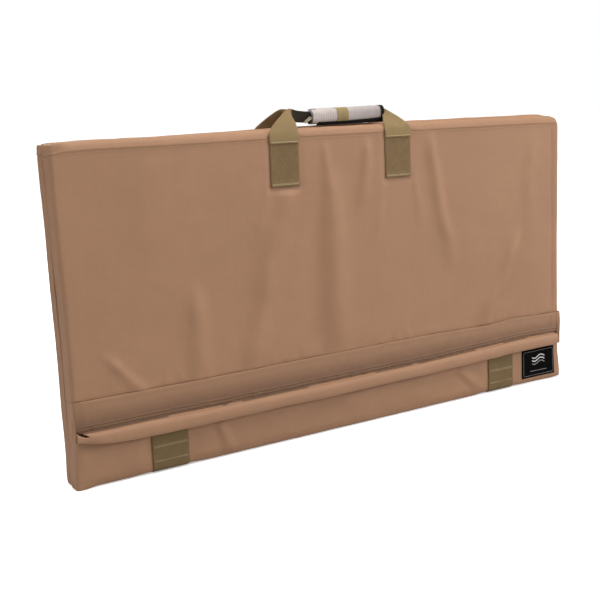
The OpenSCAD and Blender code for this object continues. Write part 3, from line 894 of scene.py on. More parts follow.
class FaceSurface:
    """Reads the y of a finished outer face at (x, z), on the -y side."""

    def __init__(self, x, z, y):
        self.x, self.z, self.y = x, z, y

    def y_at(self, x, z):
        x = np.clip(np.asarray(x, float), self.x[0], self.x[-1])
        z = np.clip(np.asarray(z, float), self.z[0], self.z[-1])
        i = np.clip(np.searchsorted(self.x, x, "right") - 1, 0, len(self.x) - 2)
        j = np.clip(np.searchsorted(self.z, z, "right") - 1, 0, len(self.z) - 2)
        a = (x - self.x[i]) / (self.x[i + 1] - self.x[i])
        b = (z - self.z[j]) / (self.z[j + 1] - self.z[j])
        y = self.y
        return ((y[i, j] * (1 - a) + y[i + 1, j] * a) * (1 - b)
                + (y[i, j + 1] * (1 - a) + y[i + 1, j + 1] * a) * b)


def leaf_cover(name, rear, material, step):
    """One sewn cover: outer face, rolled edges, inner strip and its half of the spine."""
    columns, rows = leaf_columns(rear, step), leaf_rows(step)
    count_x, count_z = len(columns), len(rows)
    flat_x, flat_z = np.meshgrid(columns[:, 0], rows, indexing="ij")
    on_face = columns[:, 4] == FACE
    turn, pivot_x, pivot_z, out_x, out_z, power = rounded_corners(
        flat_x, flat_z, on_face[:, None], rear)
    core = points(pivot_x + out_x * EDGE_R * boxy(np.sin(turn), power),
                  columns[:, 1][:, None] + EDGE_R * (1 - boxy(np.cos(turn), power)),
                  pivot_z + out_z * EDGE_R * boxy(np.sin(turn), power)).reshape(-1, 3)
    # border: along the top, down the free end, back along the bottom, each with outward x, z
    border = ([(i, count_z - 1, 0.0, 1.0) for i in range(count_x)]
              + [(count_x - 1, j, 1.0, 0.0) for j in range(count_z - 2, -1, -1)]
              + [(i, 0, 0.0, -1.0) for i in range(count_x - 2, -1, -1)])
    strips, angles = [], []
    for i, j, plain_x, plain_z in border:
        outward = np.array([out_x[i, j], 0, out_z[i, j]])
        if np.abs(outward).max() < 1e-9:
            outward = np.array([plain_x, 0, plain_z])
        pivot = np.array([pivot_x[i, j], columns[i, 1], pivot_z[i, j]])
        strip, angle = rolled_strip(columns[i], pivot, outward, turn[i, j], plain_x == 1.0)
        strips.append(strip)
        angles.append(angle)
    count, width = len(border), ROLL_STEPS + TURN_IN_STEPS
    border_i, border_j = np.array([b[:2] for b in border]).T
    vertices = np.vstack([core, np.array(strips).reshape(-1, 3)])
    ring_index = len(core) + np.arange(count * width).reshape(count, width)
    strip_index = np.column_stack([border_i * count_z + border_j, ring_index])
    faces = np.vstack([grid_quads(count_x, count_z), quads(strip_index)]).tolist()
    ob = new_mesh(name, vertices, faces, material)
    normals = vertex_values(ob.data, "normal").astype(float)
    # the middle of the face must look towards -y
    if normals[(count_x // 2) * count_z + count_z // 2, 1] > 0:
        normals = -normals
        ob.data.flip_normals()

    def with_border(values):
        edge = np.repeat(values[border_i, border_j], width)
        return np.concatenate([values.ravel(), edge])

    all_x, all_z = with_border(flat_x), with_border(flat_z)
    is_core = np.arange(len(vertices)) < len(core)
    is_face = is_core & with_border(np.repeat(on_face[:, None], count_z, 1))
    lap = -17 + 16.0 * (1 - ease(36, 86, all_z))
    height = leaf_relief(all_x, all_z, vertices[:, 1], is_core, is_face, lap, rear)
    # puckers of the rolled edges
    noise = REAR_NOISE if rear else FRONT_NOISE
    angle = np.concatenate(angles)
    along = np.repeat(border_i * 3.1 + border_j * 3.0, width)
    height[len(core):] += np.sin(np.clip(angle, 0, PI)) * (
        0.30 * noise.at(along / 17.0, angle * 1.3) + 0.2 * noise.at(along / 55.0, angle))
    vertices = vertices + normals * height[:, None]
    settle(vertices, all_x, lap, rear)
    set_coordinates(ob.data, vertices * 0.001)
    if rear:
        mirror_y(ob)
    face_y = vertices[:len(core), 1].reshape(count_x, count_z)[on_face]
    solidify(ob, 0.85, offset=-1.0)
    keep_above(ob, 0.1)
    return ob, FaceSurface(columns[on_face, 0], rows, face_y)


cover_step = 3.0
seat_cover, seat_face = leaf_cover("seat_cover_skin", False, SEAT_CANVAS, cover_step)
back_cover, back_face = leaf_cover("back_cover_skin", True, BACK_CANVAS, cover_step + 1.0)
for cover, cad_name in ((seat_cover, "seat_cover"), (back_cover, "back_cover")):
    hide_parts(cad_name)
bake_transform(seat_cover)
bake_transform(back_cover)


# ---------------------------------------------------------------- seams of the covers
def face_line(x, z, face, rear):
    """A line on a leaf face, as points and outward normals."""
    e = 1.5
    slope_x = (face.y_at(x + e, z) - face.y_at(x - e, z)) / (2 * e)
    slope_z = (face.y_at(x, z + e) - face.y_at(x, z - e)) / (2 * e)
    path = points(x, face.y_at(x, z), z)
    normals = unit(points(slope_x, -1.0, slope_z))
    if rear:
        path[:, 1] *= -1
        normals[:, 1] *= -1
    return path, normals


def cover_seams(name, face, rear, body):
    x = np.linspace(-440, 438, 300)
    lines = [face_line(x, TOP_SEAM + top_drop(x) * 0.5, face, rear)]
    z = np.linspace(24 if rear else 128, FLAT_TOP - 9, 140)
    lines += [face_line(seam_x, z, face, rear) for seam_x in END_SEAMS]
    ob = stitches(name, lines, TAN_THREAD, length=3.2, gap=1.3, radius=0.36)
    attach(ob, body)


cover_seams("seat_seam_stitching", seat_face, False, "seat_leaf")
cover_seams("back_seam_stitching", back_face, True, "back_leaf")


# ---------------------------------------------------------------- webbing
def strap_solid(name, centre, span, thickness, material, columns, uv_width,
                rounding, rib_count, rib_height):
    """Flat strap along centre; span is the vector across its full width at each point."""
    normal = unit(np.cross(span, np.gradient(centre, axis=0)))
    across = np.linspace(-0.5, 0.5, columns)
    edge = 1 - np.abs(across) * 2
    half = np.maximum(0.5 * np.minimum(1.0, np.sqrt(edge * rounding)), 0.16)
    half = half + rib_height * np.cos(across * 2 * PI * rib_count) * (edge > 0)
    across = np.append(across, across[::-1])
    height = np.append(half, -half[::-1]) * np.reshape(thickness, (-1, 1))
    rings = (centre[:, None] + span[:, None] * across[:, None]
             + normal[:, None] * height[..., None])
    uv = np.zeros(rings.shape[:2] + (2,))
    uv[..., 0] = across * uv_width * 0.001
    uv[..., 1] = arc_length(centre)[:, None] * 0.001
    return sweep(name, rings, material, uv)


def ribbon(name, path, side, width, thickness, material, columns, ribs=True):
    """A strap of even width along a path; side points across it."""
    side = unit(np.broadcast_to(np.asarray(side, float), path.shape))
    return strap_solid(name, path, side * width, thickness, material, columns,
                       uv_width=width, rounding=14, rib_count=12,
                       rib_height=0.055 if ribs else 0.0)


def lofted_strap(name, left, right, material, thickness, columns=30):
    """A strap given by its two edges, so it can fold and turn."""
    return strap_solid(name, (left + right) / 2, right - left, thickness, material, columns,
                       uv_width=50.0, rounding=12, rib_count=11, rib_height=-0.05)


def anchor(name, centre, face, rear, body, replaces):
    """Webbing down the face and round under the lower edge, with cross seams and a bar tack."""
    z = np.linspace(99, FLAT_BOTTOM - 1, 60)
    y = np.minimum(face.y_at(centre, z), FACE_Y) - (1.15 if rear else 1.0)
    angle = PI / 2 * np.arange(1, 15) / 14
    path = resample(np.vstack([
        points(centre, y, z),
        points(centre, MID_Y - boxy(np.cos(angle), EDGE_POWER) * (EDGE_R + 1.05),
               FLAT_BOTTOM - boxy(np.sin(angle), EDGE_POWER) * (EDGE_R + 0.6)),
        (centre, MID_Y + 3, FLAT_BOTTOM - EDGE_R - 0.6),
        (centre, INNER_Y - 1.0, FLAT_BOTTOM - EDGE_R - 0.4),
    ]), 1.6)
    strap = ribbon(name, path, (1, 0, 0), ANCHOR_WIDTH, WEB_THICK, LOW_WEB, columns=40)
    half = ANCHOR_WIDTH / 2
    x = np.linspace(centre - half + 2, centre + half - 2, 20)
    lines = [(points(x, min(face.y_at(centre, z) - 1.75, FACE_Y - 1.72), z), OUTWARD)
             for z in (39.0, 37.0)]
    k = np.arange(31)
    tack = points(centre - half + 3 + (ANCHOR_WIDTH - 6) * k / 30, FACE_Y - 1.75,
                  15.5 + 3.0 * (k % 2))
    lines.append((tack, OUTWARD))
    thread = stitches(name + "_stitching", lines, PALE_THREAD, length=2.6, gap=0.9,
                      radius=0.33, lift=0.16)
    for ob in (strap, thread):
        if rear:
            mirror_y(ob)
        attach(ob, body)
    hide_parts(replaces)


for leaf, face, rear in (("seat", seat_face, False), ("back", back_face, True)):
    for letter, centre in zip("ab", ANCHOR_XS):
        anchor(f"{leaf}_anchor_strap_{letter}", centre, face, rear, f"{leaf}_leaf",
               f"{leaf}_anchor_webbing")


def handle_tab(name, centre, face, rear, body, replaces):
    """Sewn tab on the face, its lower end turned under."""
    zs = np.linspace(TAB_FOOT, TAB_SEAM + 3.5, 70)
    ys = face.y_at(centre + np.array([[0], [-20], [20]]), zs).min(0) - 0.95
    ys = ys - 0.45 * (1 - ease(TAB_FOOT + 5, TAB_FOOT + 9, zs))
    path = resample(points(centre, ys, zs), 1.5)
    thickness = np.where(path[:, 2] < TAB_FOOT + 8, WEB_THICK * 1.55, WEB_THICK)
    strap = ribbon(name, path, (1, 0, 0), TAB_WIDTH, thickness, OLIVE_WEB, columns=38)
    left, right = centre - TAB_WIDTH / 2 + 3, centre + TAB_WIDTH / 2 - 3
    low, high = TAB_FOOT + 3.0, TAB_SEAM - 3.0

    def seam(x0, z0, x1, z1, count=30):
        t = np.linspace(0, 1, count)
        z = z0 + (z1 - z0) * t
        return points(x0 + (x1 - x0) * t, np.interp(z, zs, ys) - 0.85, z), OUTWARD

    cross = stitches(name + "_cross_stitching",
                     [seam(left - 1, z, right + 1, z) for z in (low, low + 1.5)],
                     PALE_THREAD, length=2.6, gap=0.45, radius=0.5, lift=0.3)
    low, high = low + 4, high - 1
    box = stitches(name + "_box_stitching",
                   [seam(left, low, left, high), seam(right, low, right, high),
                    seam(left, low, right, high, 40), seam(left, high, right, low, 40)],
                   WEB_THREAD, length=2.6, gap=0.9, radius=0.33)
    for ob in (strap, cross, box):
        if rear:
            mirror_y(ob)
        attach(ob, body)
    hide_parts(replaces)


HANDLES = (("front", seat_face, False, "seat_leaf"), ("rear", back_face, True, "back_leaf"))
for side, face, rear, leaf_body in HANDLES:
    for letter, centre in zip("ab", TAB_XS):
        handle_tab(f"{side}_handle_tab_{letter}", centre, face, rear, leaf_body,
                   f"{side}_handle_tabs")

# ---------------------------------------------------------------- handle straps
wrap_low, wrap_high = cad_box("grip_wrap")
binding_low, binding_high = cad_box("grip_binding")
GRIP_START, GRIP_END = binding_low[0], binding_high[0]
GRIP_Z = (wrap_low[2] + wrap_high[2]) / 2
RISER_FOOT = TAB_SEAM - 3.2


def grip_part(x):
    """0 at the -x end of the grip, 1 at the +x end."""
    return (np.asarray(x, float) - GRIP_START) / (GRIP_END - GRIP_START)


def grip_z(x):
    """Middle of the grip: it is carried a little higher at the +x end."""
    return GRIP_Z - 1.9 + 2.3 * grip_part(x)


def hinge_side_edges(cx, y, foot):
    """Edges of the riser at the -x end of the grip: away from the grip, on the grip side."""
    away, near = cx - TAB_WIDTH / 2, cx + TAB_WIDTH / 2
    grip = GRIP_START
    gz = float(grip_z(grip))
    return [
        (away, y, foot), (away, y + 0.05, foot + 7), (away + 0.2, y + 0.8, foot + 15),
        (away + 5.0, y + 3.2, foot + 22.5), (away + 21, y + 8.0, foot + 35.5),
        (cx + 14.5, -11.5, 490.2), (cx + 24, -8.2, 491.6), (cx + 38, -6.0, 488.6),
        (grip - 8, -4.6, gz + 8.4), (grip + 3, -4.2, gz + 7.2), (grip + 12, -4.2, gz + 7.0),
    ], [
        (near, y, foot), (near, y + 0.05, foot + 7), (near, y + 0.8, foot + 14),
        (near - 0.1, y + 3.0, foot + 22), (near - 1.0, y + 6.6, foot + 30.5),
        (cx + 21.5, -13.0, 482.5), (cx + 27, -8.0, 476.0), (cx + 39, -3.6, 472.0),
        (grip - 8, -2.0, gz - 7.6), (grip + 3, -2.2, gz - 7.2), (grip + 12, -2.6, gz - 7.0),
    ]


def free_side_edges(cx, y, foot):
    """Edges of the riser at the +x end of the grip: away from the grip, on the grip side."""
    away, near = cx + TAB_WIDTH / 2, cx - TAB_WIDTH / 2
    grip = GRIP_END
    gz = float(grip_z(grip))
    return [
        (away, y, foot), (away, y + 0.05, foot + 7), (away - 0.2, y + 1.0, foot + 15),
        (away - 4.5, y + 3.8, foot + 21.5), (away - 17, y + 8.6, foot + 31),
        (cx - 5.5, -12.4, 482.2), (grip + 2.0, -9.6, 486.5), (grip - 5, -5.7, gz + 7.6),
        (grip - 14, -4.3, gz + 7.0),
    ], [
        (near, y, foot), (near, y + 0.05, foot + 7), (near + 0.2, y + 1.2, foot + 14),
        (near + 1.0, y + 3.8, foot + 20.5), (near + 2.6, y + 7.8, foot + 26.5),
        (near + 5.6, -13.0, 476.4), (near + 6.5, -9.0, 473.6), (grip - 6, -5.0, gz - 7.4),
        (grip - 14, -3.2, gz - 7.0),
    ]


def riser(name, centre, hinge_side, rear, leaf_body, face, replaces):
    """Free strap: it stands up from its seam, narrows to a fold and turns in to the grip."""
    foot = RISER_FOOT
    y = float(np.min(face.y_at([centre - 20, centre, centre + 20], foot + 2))) - 2.45
    edges = (hinge_side_edges if hinge_side else free_side_edges)(centre, y, foot)
    away, near = (smooth_curve(edge, 9) for edge in edges)
    left, right = (away, near) if hinge_side else (near, away)
    ob = lofted_strap(name, left, right, FREE_WEB, WEB_THICK)
    if hinge_side:
        # the part that turns in to the grip is painted dark as shade
        mesh = ob.data
        mesh.materials.append(PAINTED_SHADE_WEB)
        x, y_mid, z = np.array([p.center[:] for p in mesh.polygons]).T * 1000
        inner = (x > centre + 25.5) & (z > 466) & (y_mid > -12.5)
        mesh.polygons.foreach_set("material_index", inner.astype(np.int32))
    half = TAB_WIDTH / 2 - 2
    seam = points(np.linspace(centre - half, centre + half, 24), y - 0.82, foot + 2.2)
    thread = stitches(name + "_seam_stitching", [(seam, OUTWARD)], PALE_THREAD,
                      length=2.8, gap=0.35, radius=0.55, lift=0.3)
    if rear:
        mirror_y(ob)
        mirror_y(thread)
    attach(thread, leaf_body)
    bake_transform(ob)
    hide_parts(replaces)


for side, face, rear, leaf_body in HANDLES:
    body = f"{side}_handle"
    for letter, centre, hinge_side in zip("ab", TAB_XS, (True, False)):
        riser(f"{side}_handle_riser_{letter}", centre, hinge_side, rear, leaf_body, face,
              f"{side}_handle_loop")
    # the doubled strap inside the grip
    core_x = np.linspace(GRIP_START + 3, GRIP_END - 3, 60)
    core_y = 2.7 if rear else -2.9
    for letter, shift in zip("ab", (-0.8, 0.8)):
        core = ribbon(f"{side}_handle_core_{letter}",
                      points(core_x, core_y + shift, grip_z(core_x)),
                      (0, 0, 1), 13.4, 1.3, OLIVE_WEB, columns=16)
        attach(core, body)


def turned_lip():
    """The turned-in lip of the front strap beside the grip."""
    low = smooth_curve([(GRIP_START - 17, -7.6, 469.4), (GRIP_START - 11, -8.8, 472.6),
                        (GRIP_START - 5, -8.6, 475.4), (GRIP_START + 2, -7.2, 476.2)], 10)
    high = low + np.array([0, 1.2, 1.0]) * np.linspace(3.0, 6.0, len(low))[:, None]
    ob = lofted_strap("front_handle_turned_lip", low, high, LIP_WEB, 1.2, columns=12)
    attach(ob, "front_handle")


turned_lip()

# ---------------------------------------------------------------- padded grip
# the C section runs from the top +y lip over the -y side to the bottom +y lip
GRIP_ANGLES = math.radians(62) + math.radians(236) * np.arange(41) / 40
GRIP_OUTER = (9.4, 12.4)                # half sizes in y and z
GRIP_WALL = (6.1, 9.5)
GRIP_Y = -1.4
FLAP_DROP = 0.9                         # the flap lies lower at the -x end


def oval(half_sizes, grow=0.0):
    """y and z of the squared-off C section round its centre."""
    power = 2.6
    half_y, half_z = (half + grow for half in half_sizes)
    cos, sin = np.cos(GRIP_ANGLES), np.sin(GRIP_ANGLES)
    reach = (np.abs(cos) ** power / half_y ** power
             + np.abs(sin) ** power / half_z ** power) ** (-1 / power)
    return reach * cos, reach * sin


def grip_height(x):
    """Share of the full section height at x."""
    return 0.84 + 0.09 * grip_part(x)


def grip_tube(name, x0, x1, grow, material, ribs=0.0, pitch=4.0, bulge=0.0):
    """A length of the C section, with rounded ends."""
    x = np.linspace(x0, x1, max(4, int((x1 - x0) / 0.8)))[:, None]
    edge = np.minimum(x - x0, x1 - x)
    growth = (grow * (1.0 - 0.3 * bell(edge, 0, 0.7))
              + ribs * np.cos((x - x0) / pitch * 2 * PI) * (edge > 1)
              + bulge * np.sin(PI * (x - x0) / (x1 - x0)))
    wall_y, wall_z = oval(GRIP_WALL)
    y, z = stack_blocks(len(x), [oval(GRIP_OUTER, growth), (wall_y[::-1], wall_z[::-1])])
    uneven = 0.25 * FRONT_NOISE.at(x / 22.0 + 3, 0.5)
    rings = points(x, y + GRIP_Y, z * grip_height(x) + grip_z(x) + uneven)
    return sweep(name, rings, material)


wrap = grip_tube("grip_padded_wrap", GRIP_START - 4.2, GRIP_END - 2, 0.0, GRIP_CLOTH,
                 ribs=0.32, pitch=3.1, bulge=0.5)
attach(wrap, "front_handle", "grip_wrap")
for letter, x0, x1, grow, material in (
        ("a", GRIP_START - 4.9, GRIP_START - 3.6, 0.05, GREY_THREAD),
        ("b", GRIP_END - 6.2, GRIP_END + 0.4, 0.75, BINDING)):
    end_binding = grip_tube(f"grip_end_binding_{letter}", x0, x1, grow, material)
    attach(end_binding, "front_handle", "grip_binding")
keeper_low, keeper_high = cad_box("grip_keeper")
keeper = grip_tube("grip_keeper_band", keeper_low[0], keeper_high[0], 1.5, KEEPER_WEB,
                   ribs=0.12, pitch=2.0)
attach(keeper, "front_handle", "grip_keeper")


def grip_lower_tape():
    """Dark tape along the lower lip of the wrap, swelling towards the +x end."""
    x = np.linspace(GRIP_START + 6, GRIP_END - 1, 90)[:, None]
    angle = 2 * PI * np.arange(14) / 14
    part = grip_part(x)
    far = part ** 3
    rings = points(
        x, GRIP_Y - 5.4 - 0.9 * far + 4.2 * np.cos(angle),
        grip_z(x) - 10.0 - 0.9 * part + 1.4 * far + (1.7 + 1.8 * far) * np.sin(angle)
        - 1.672 * np.cos(angle))
    attach(sweep("grip_lower_tape", rings, BINDING), "front_handle")


def grip_stitching():
    """Stitches beside the end bindings and at both edges of the keeper."""
    lines = []
    for x, grow in ((GRIP_START + 0.6, 0.25), (GRIP_END - 6.4, 0.25),
                    (keeper_low[0] + 1.6, 1.62), (keeper_high[0] - 1.6, 1.62)):
        y, z = (values[4:32] for values in oval(GRIP_OUTER, grow))
        lines.append((points(x, y + GRIP_Y, z * grip_height(x) + grip_z(x)),
                      points(0, y / GRIP_OUTER[0], z / GRIP_OUTER[1])))
    ob = stitches("grip_stitching", lines, PALE_THREAD, length=1.9, gap=0.8, radius=0.28,
                  lift=0.2)
    attach(ob, "front_handle")


def grip_flap():
    """Closing flap of the grip, sewn down along the wrap, with its hook tape underneath."""
    flap_low, flap_high = cad_box("grip_flap")
    hook_low, hook_high = cad_box("grip_hook_strip")
    cloth_z = hook_high[2] + 0.9        # middle of the cloth, just above its hook tape
    sewn_y = 2.4                        # the cloth bends beyond this line
    x = np.linspace(flap_low[0] + 5.0, flap_high[0] - 7.0, 70)[:, None]
    t = np.linspace(0, 1, 30)
    end_round = np.minimum(1.0, 0.35 + np.sqrt(np.minimum(x - x[0], x[-1] - x) / 2.2))
    edge_round = np.minimum(1.0, 0.3 + np.sqrt(np.minimum(t, 1 - t) * 9))
    y = sewn_y + t * (flap_high[1] - sewn_y)
    lip_z = grip_z(x) + 12.0 * grip_height(x) + 0.2
    z = cloth_z - FLAP_DROP * (1 - grip_part(x))
    z = lip_z + (z - lip_z) * ease(sewn_y, 6.8, y)
    puff = 0.18 * np.cos(x / 3.1 * 2 * PI)
    upper = points(x, y, z + 1.15 * edge_round * end_round + puff * edge_round)
    lower = points(x, y, z - 0.75 * edge_round * end_round)
    ob = sweep("grip_closing_flap", np.hstack([upper, lower[:, ::-1]]), GRIP_CLOTH)
    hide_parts("grip_flap")
    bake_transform(ob)

    x = np.linspace(max(hook_low[0], flap_low[0] + 6.5),
                    min(hook_high[0], flap_high[0] - 8.5), 90)[:, None]
    k = np.arange(24)
    angle = 2 * PI * k / 24
    middle, half = (hook_low + hook_high) / 2, (hook_high - hook_low) / 2
    rings = points(x, middle[1] + half[1] * boxy(np.cos(angle), 0.35),
                   middle[2] + 0.25 - FLAP_DROP * (1 - grip_part(x))
                   + 0.36 * boxy(np.sin(angle), 0.5) + 0.08 * np.sin(x * 3.0 + k))
    attach(sweep("grip_hook_tape", rings, HOOK_TAPE), "grip_closure",
           "grip_hook_strip")

    x = np.linspace(flap_low[0] + 7, flap_high[0] - 9, 60)
    seam = points(x, flap_high[1] - 2.2, cloth_z + 1.15 - FLAP_DROP * (1 - grip_part(x)))
    ob = stitches("grip_flap_stitching", [(seam, (0, 0, 1.0))], PALE_THREAD, length=1.9,
                  gap=0.8, radius=0.28)
    attach(ob, "grip_closure")


grip_lower_tape()
grip_stitching()
grip_flap()

# ---------------------------------------------------------------- skirt
# each row: x, z
SKIRT_SEAM = [(-459, 121.5), (-347, 121), (-269, 120.5), (-60, 121.5), (154, 122),
              (250, 119.5), (290, 119), (335, 122.5), (380, 121), (459, 118.5)]
ROLL_BOTTOM = [(-459, 70), (-440, 64.0), (-420, 60.2), (-385, 57.4), (-350, 56.5),
               (-261, 57), (0, 58), (147, 59), (273, 61.5), (353, 63.5), (459, 64)]
ROLL_TOP = [(-459, 78.5), (-405, 78), (-350, 78.5), (-261, 77.5), (150, 79), (276, 82),
            (356, 84.5), (437, 82.5), (459, 82)]
SKIRT_START, SKIRT_END = -456.6, FREE_END - 12.0
SKIRT_BACK = -25.75                     # y of the skirt's back, against the leaf
BAND_STEPS, SKIRT_ROLL_STEPS = 44, 64
BAND, ROLL, BACK = 0, 1, 2              # parts of the skirt section


def skirt_edge(table, x):
    """Smoothed height of a skirt line at x."""
    even = np.linspace(SKIRT_START, SKIRT_END, 330)
    kernel = np.exp(-np.linspace(-2, 2, 21) ** 2)
    kernel /= kernel.sum()
    z = np.interp(even, *np.array(table, float).T)
    return np.interp(x, even, np.convolve(np.pad(z, 10, mode="edge"), kernel, "valid"))


def skirt_band(x, seam, top, thin):
    """Outer side of the band, from the seam down: y and z."""
    q = np.arange(BAND_STEPS) / (BAND_STEPS - 1)
    z = seam - 0.3 + (top + 2.7 - seam) * q
    arch = np.sin(PI * q)
    bow = 0.9 * arch + 0.35 * FRONT_NOISE.layered(x / 24.0 + 2, z / 22.0, 2) * arch
    above = z - top                     # height above the roll
    gather = 0.62 * FRONT_NOISE.at(x / 8.0, 4.0) * bell(above, 5.0, 5.0)
    tucks = 0.75 * (bell(above, 3.2, 0.9) + bell(above, 7.4, 0.9))
    ribs = 0.75 * bell(above, 5.3, 1.6) + 0.6 * bell(above, 9.4, 1.6)
    depth = -1.45 - bow - gather - ribs + tucks - 0.35 * bell(q, 0, 0.10)
    return SKIRT_BACK + 0.55 * (1 - thin) + depth * thin, z


def skirt_roll(x, low, top):
    """Roll from the neck round the -y side to the back: y and z."""
    sway = 0.7 * FRONT_NOISE.at(x / 60.0 + 9, 1.7)
    kink = 1.6 * bell(x, 330, 14.0) - 1.0 * bell(x, 300, 12.0)
    depth = 11.6 + 0.5 * FRONT_NOISE.at(x / 45.0, 3.1) + 0.5 * kink
    depth = depth * (0.50 + 0.50 * ease(SKIRT_START - 2, -424, x))
    depth = depth * (1 - 0.10 * ease(FREE_END - 40, FREE_END - 12, x))
    angle = math.radians(78) + math.radians(252) * np.arange(SKIRT_ROLL_STEPS + 1) / SKIRT_ROLL_STEPS
    cos, sin = np.cos(angle), np.sin(angle)
    power = 2.25
    reach = (np.abs(cos) ** power + np.abs(sin) ** power) ** (-1 / power)
    wrinkle = (0.22 * FRONT_NOISE.at(x / 13.0 + 30, angle * 1.2)
               + 0.35 * FRONT_NOISE.at(x / 70.0, angle))
    y = SKIRT_BACK - depth / 2 - 0.15 + (depth / 2 + wrinkle * 0.6) * reach * cos
    z = (low + top) / 2 + sway * 0.5 + kink * 0.4 + ((top - low) / 2 + wrinkle) * reach * sin
    return y, z


def skirt_flap(xs, seams, tops):
    """The band and its rolled lower edge, in one solid."""
    x, seam, top = xs[:, None], seams[:, None], tops[:, None]
    low = skirt_edge(ROLL_BOTTOM, x)
    thin = 0.22 + 0.78 * ease(SKIRT_START, SKIRT_START + 15, x)   # flatter at the hinge end
    back = SKIRT_BACK + 0.4 * (1 - thin)
    y, z = stack_blocks(len(xs), [
        skirt_band(x, seam, top, thin),
        (SKIRT_BACK - 1.0 * thin, top + 1.0),                     # stitched neck
        skirt_roll(x, low, top),
        (back, low + 3.0 + (seam - low - 3.8) * np.arange(12) / 11),
        (back - 0.2 * thin, seam + 0.25),
        (back - 0.9 * thin, seam + 0.35),
    ])
    part = np.repeat([BAND, ROLL, BACK], [BAND_STEPS + 1, SKIRT_ROLL_STEPS + 1, 14])
    # the open end of the sleeve: a short slot between an upper and a lower lip
    along = (x - SKIRT_START) / 14.5
    upper = 82.6 - 7.6 * along
    lower = upper - 3.9 * np.sin(PI * (0.22 + 0.78 * np.minimum(along, 1.0))) ** 0.7
    slot = ease(lower - 0.7, lower + 0.5, z) * (1 - ease(upper - 0.5, upper + 0.6, z))
    slot = slot * ((along < 1.0) & (part < BACK))
    y = y + (SKIRT_BACK + 0.1 - y) * slot * np.where(along > 0.02, 1.0, 0.6)
    # the roll stops short of the band at the free end
    below_band = np.arange(len(part)) >= BAND_STEPS
    x = x - 4.0 * below_band * ease(FREE_END - 60, FREE_END - 12, x)
    # the lower lip runs on past the upper one
    x = x - (1.6 * (part == ROLL) * (1 - ease(72, 78, z))
             * (1 - ease(SKIRT_START, SKIRT_START + 14, x)))
    ob = sweep("skirt_flap", points(x, y, z), SKIRT_CLOTH, flat_caps=True)
    # slot 1 is the lighter roll, slot 2 the painted shade inside the open end
    mesh = ob.data
    mesh.materials.append(ROLL_CLOTH)
    mesh.materials.append(FOLD_SHADE)
    centres = np.array([p.center[:] for p in mesh.polygons]) * 1000
    index = (centres[:, 2] < np.interp(centres[:, 0], xs, tops) + 0.4).astype(np.int32)
    dark = slot.ravel()
    index[np.array([dark[list(p.vertices)].mean() > 0.55 for p in mesh.polygons])] = 2
    mesh.polygons.foreach_set("material_index", index)
    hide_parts("skirt_panel")
    blend_skirt(ob)


def blend_skirt(ob):
    """The skirt is sewn to the leaf along its upper edge; this only bakes the piece in place."""
    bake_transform(ob)


def skirt_end_return(seam_end):
    """End piece sewn round the free end of the leaf."""
    z = np.linspace(63.0, seam_end + 0.1, 40)[:, None]
    arch = np.sin(PI * np.maximum(0.0, z - 83) / 36.0)
    face_y = SKIRT_BACK - 1.75 - 0.9 * arch + 0.5 * ease(84, 78, z)
    start = SKIRT_END + 0.5
    t = np.arange(21) / 20
    angle = math.radians(86) * t
    sin, cos = boxy(np.sin(angle), EDGE_POWER), boxy(np.cos(angle), EDGE_POWER)
    outer_r = EDGE_R + 3.4 + 0.55 * arch * 0.5 - 0.4 * t
    inner_r = EDGE_R + 1.75
    pull = np.minimum(0.0, face_y - (MID_Y - outer_r)) * (1 - t)
    x, y = stack_blocks(len(z), [
        (start, face_y + 0.4),
        (start + 0.3, face_y),
        (FLAT_END + 0.4 + (outer_r - 0.4) * sin, MID_Y - outer_r * cos + pull),
        ((FLAT_END + 0.4 + (inner_r - 0.4) * sin)[::-1], (MID_Y - inner_r * cos)[::-1]),
        (start + 0.3, SKIRT_BACK - 0.2),
        (start, SKIRT_BACK - 0.25),
    ])
    rings = points(x + 0.12 * FRONT_NOISE.at(z / 9.0, x / 6.0), y, z)
    ob = sweep("skirt_end_return", rings, SKIRT_CLOTH, flat_caps=True)
    attach(ob, "seat_leaf")


def skirt_stitching(x, seam, top):
    lines = []
    run = slice(46, -4)
    for rise in (3.2, 7.4):
        z = top + rise
        y = SKIRT_BACK - 1.0 - 0.9 * np.sin(PI * np.clip((seam - z) / (seam - top), 0, 1))
        lines.append((points(x[run], y[run], z[run]), OUTWARD))
    run = slice(24, -3)
    lines.append((points(x[run], SKIRT_BACK - 1.62, seam[run] - 2.6), OUTWARD))
    z = np.linspace(92.0, 114.0, 24)
    y = SKIRT_BACK - 2.35 - 0.25 * np.sin((z - 92) / 22 * PI)
    lines += [(points(FREE_END - inset, y, z), OUTWARD) for inset in (26.0, 22.0)]
    ob = stitches("skirt_stitching", lines, TAN_THREAD, length=3.0, gap=1.0, radius=0.42,
                  lift=0.22)
    blend_skirt(ob)


skirt_x = np.concatenate([np.linspace(SKIRT_START, -436.0, 46)[:-1],
                          np.linspace(-436.0, SKIRT_END, 320)])
skirt_seam, skirt_top = skirt_edge(SKIRT_SEAM, skirt_x), skirt_edge(ROLL_TOP, skirt_x)
skirt_flap(skirt_x, skirt_seam, skirt_top)
skirt_end_return(float(skirt_seam[-1]))
skirt_stitching(skirt_x, skirt_seam, skirt_top)


# ---------------------------------------------------------------- label
def rounded(corners, radius, pieces):
    """Rounds the inner corners of a polyline."""
    corners = [np.array(p, float) for p in corners]
    out = [corners[0]]
    for before, corner, after in zip(corners[:-2], corners[1:-1], corners[2:]):
        p = corner + unit(before - corner) * radius
        q = corner + unit(after - corner) * radius
        for i in range(pieces + 1):
            t = i / pieces
            out.append((1 - t) ** 2 * p + 2 * t * (1 - t) * corner + t * t * q)
    out.append(corners[-1])
    return np.array(out)


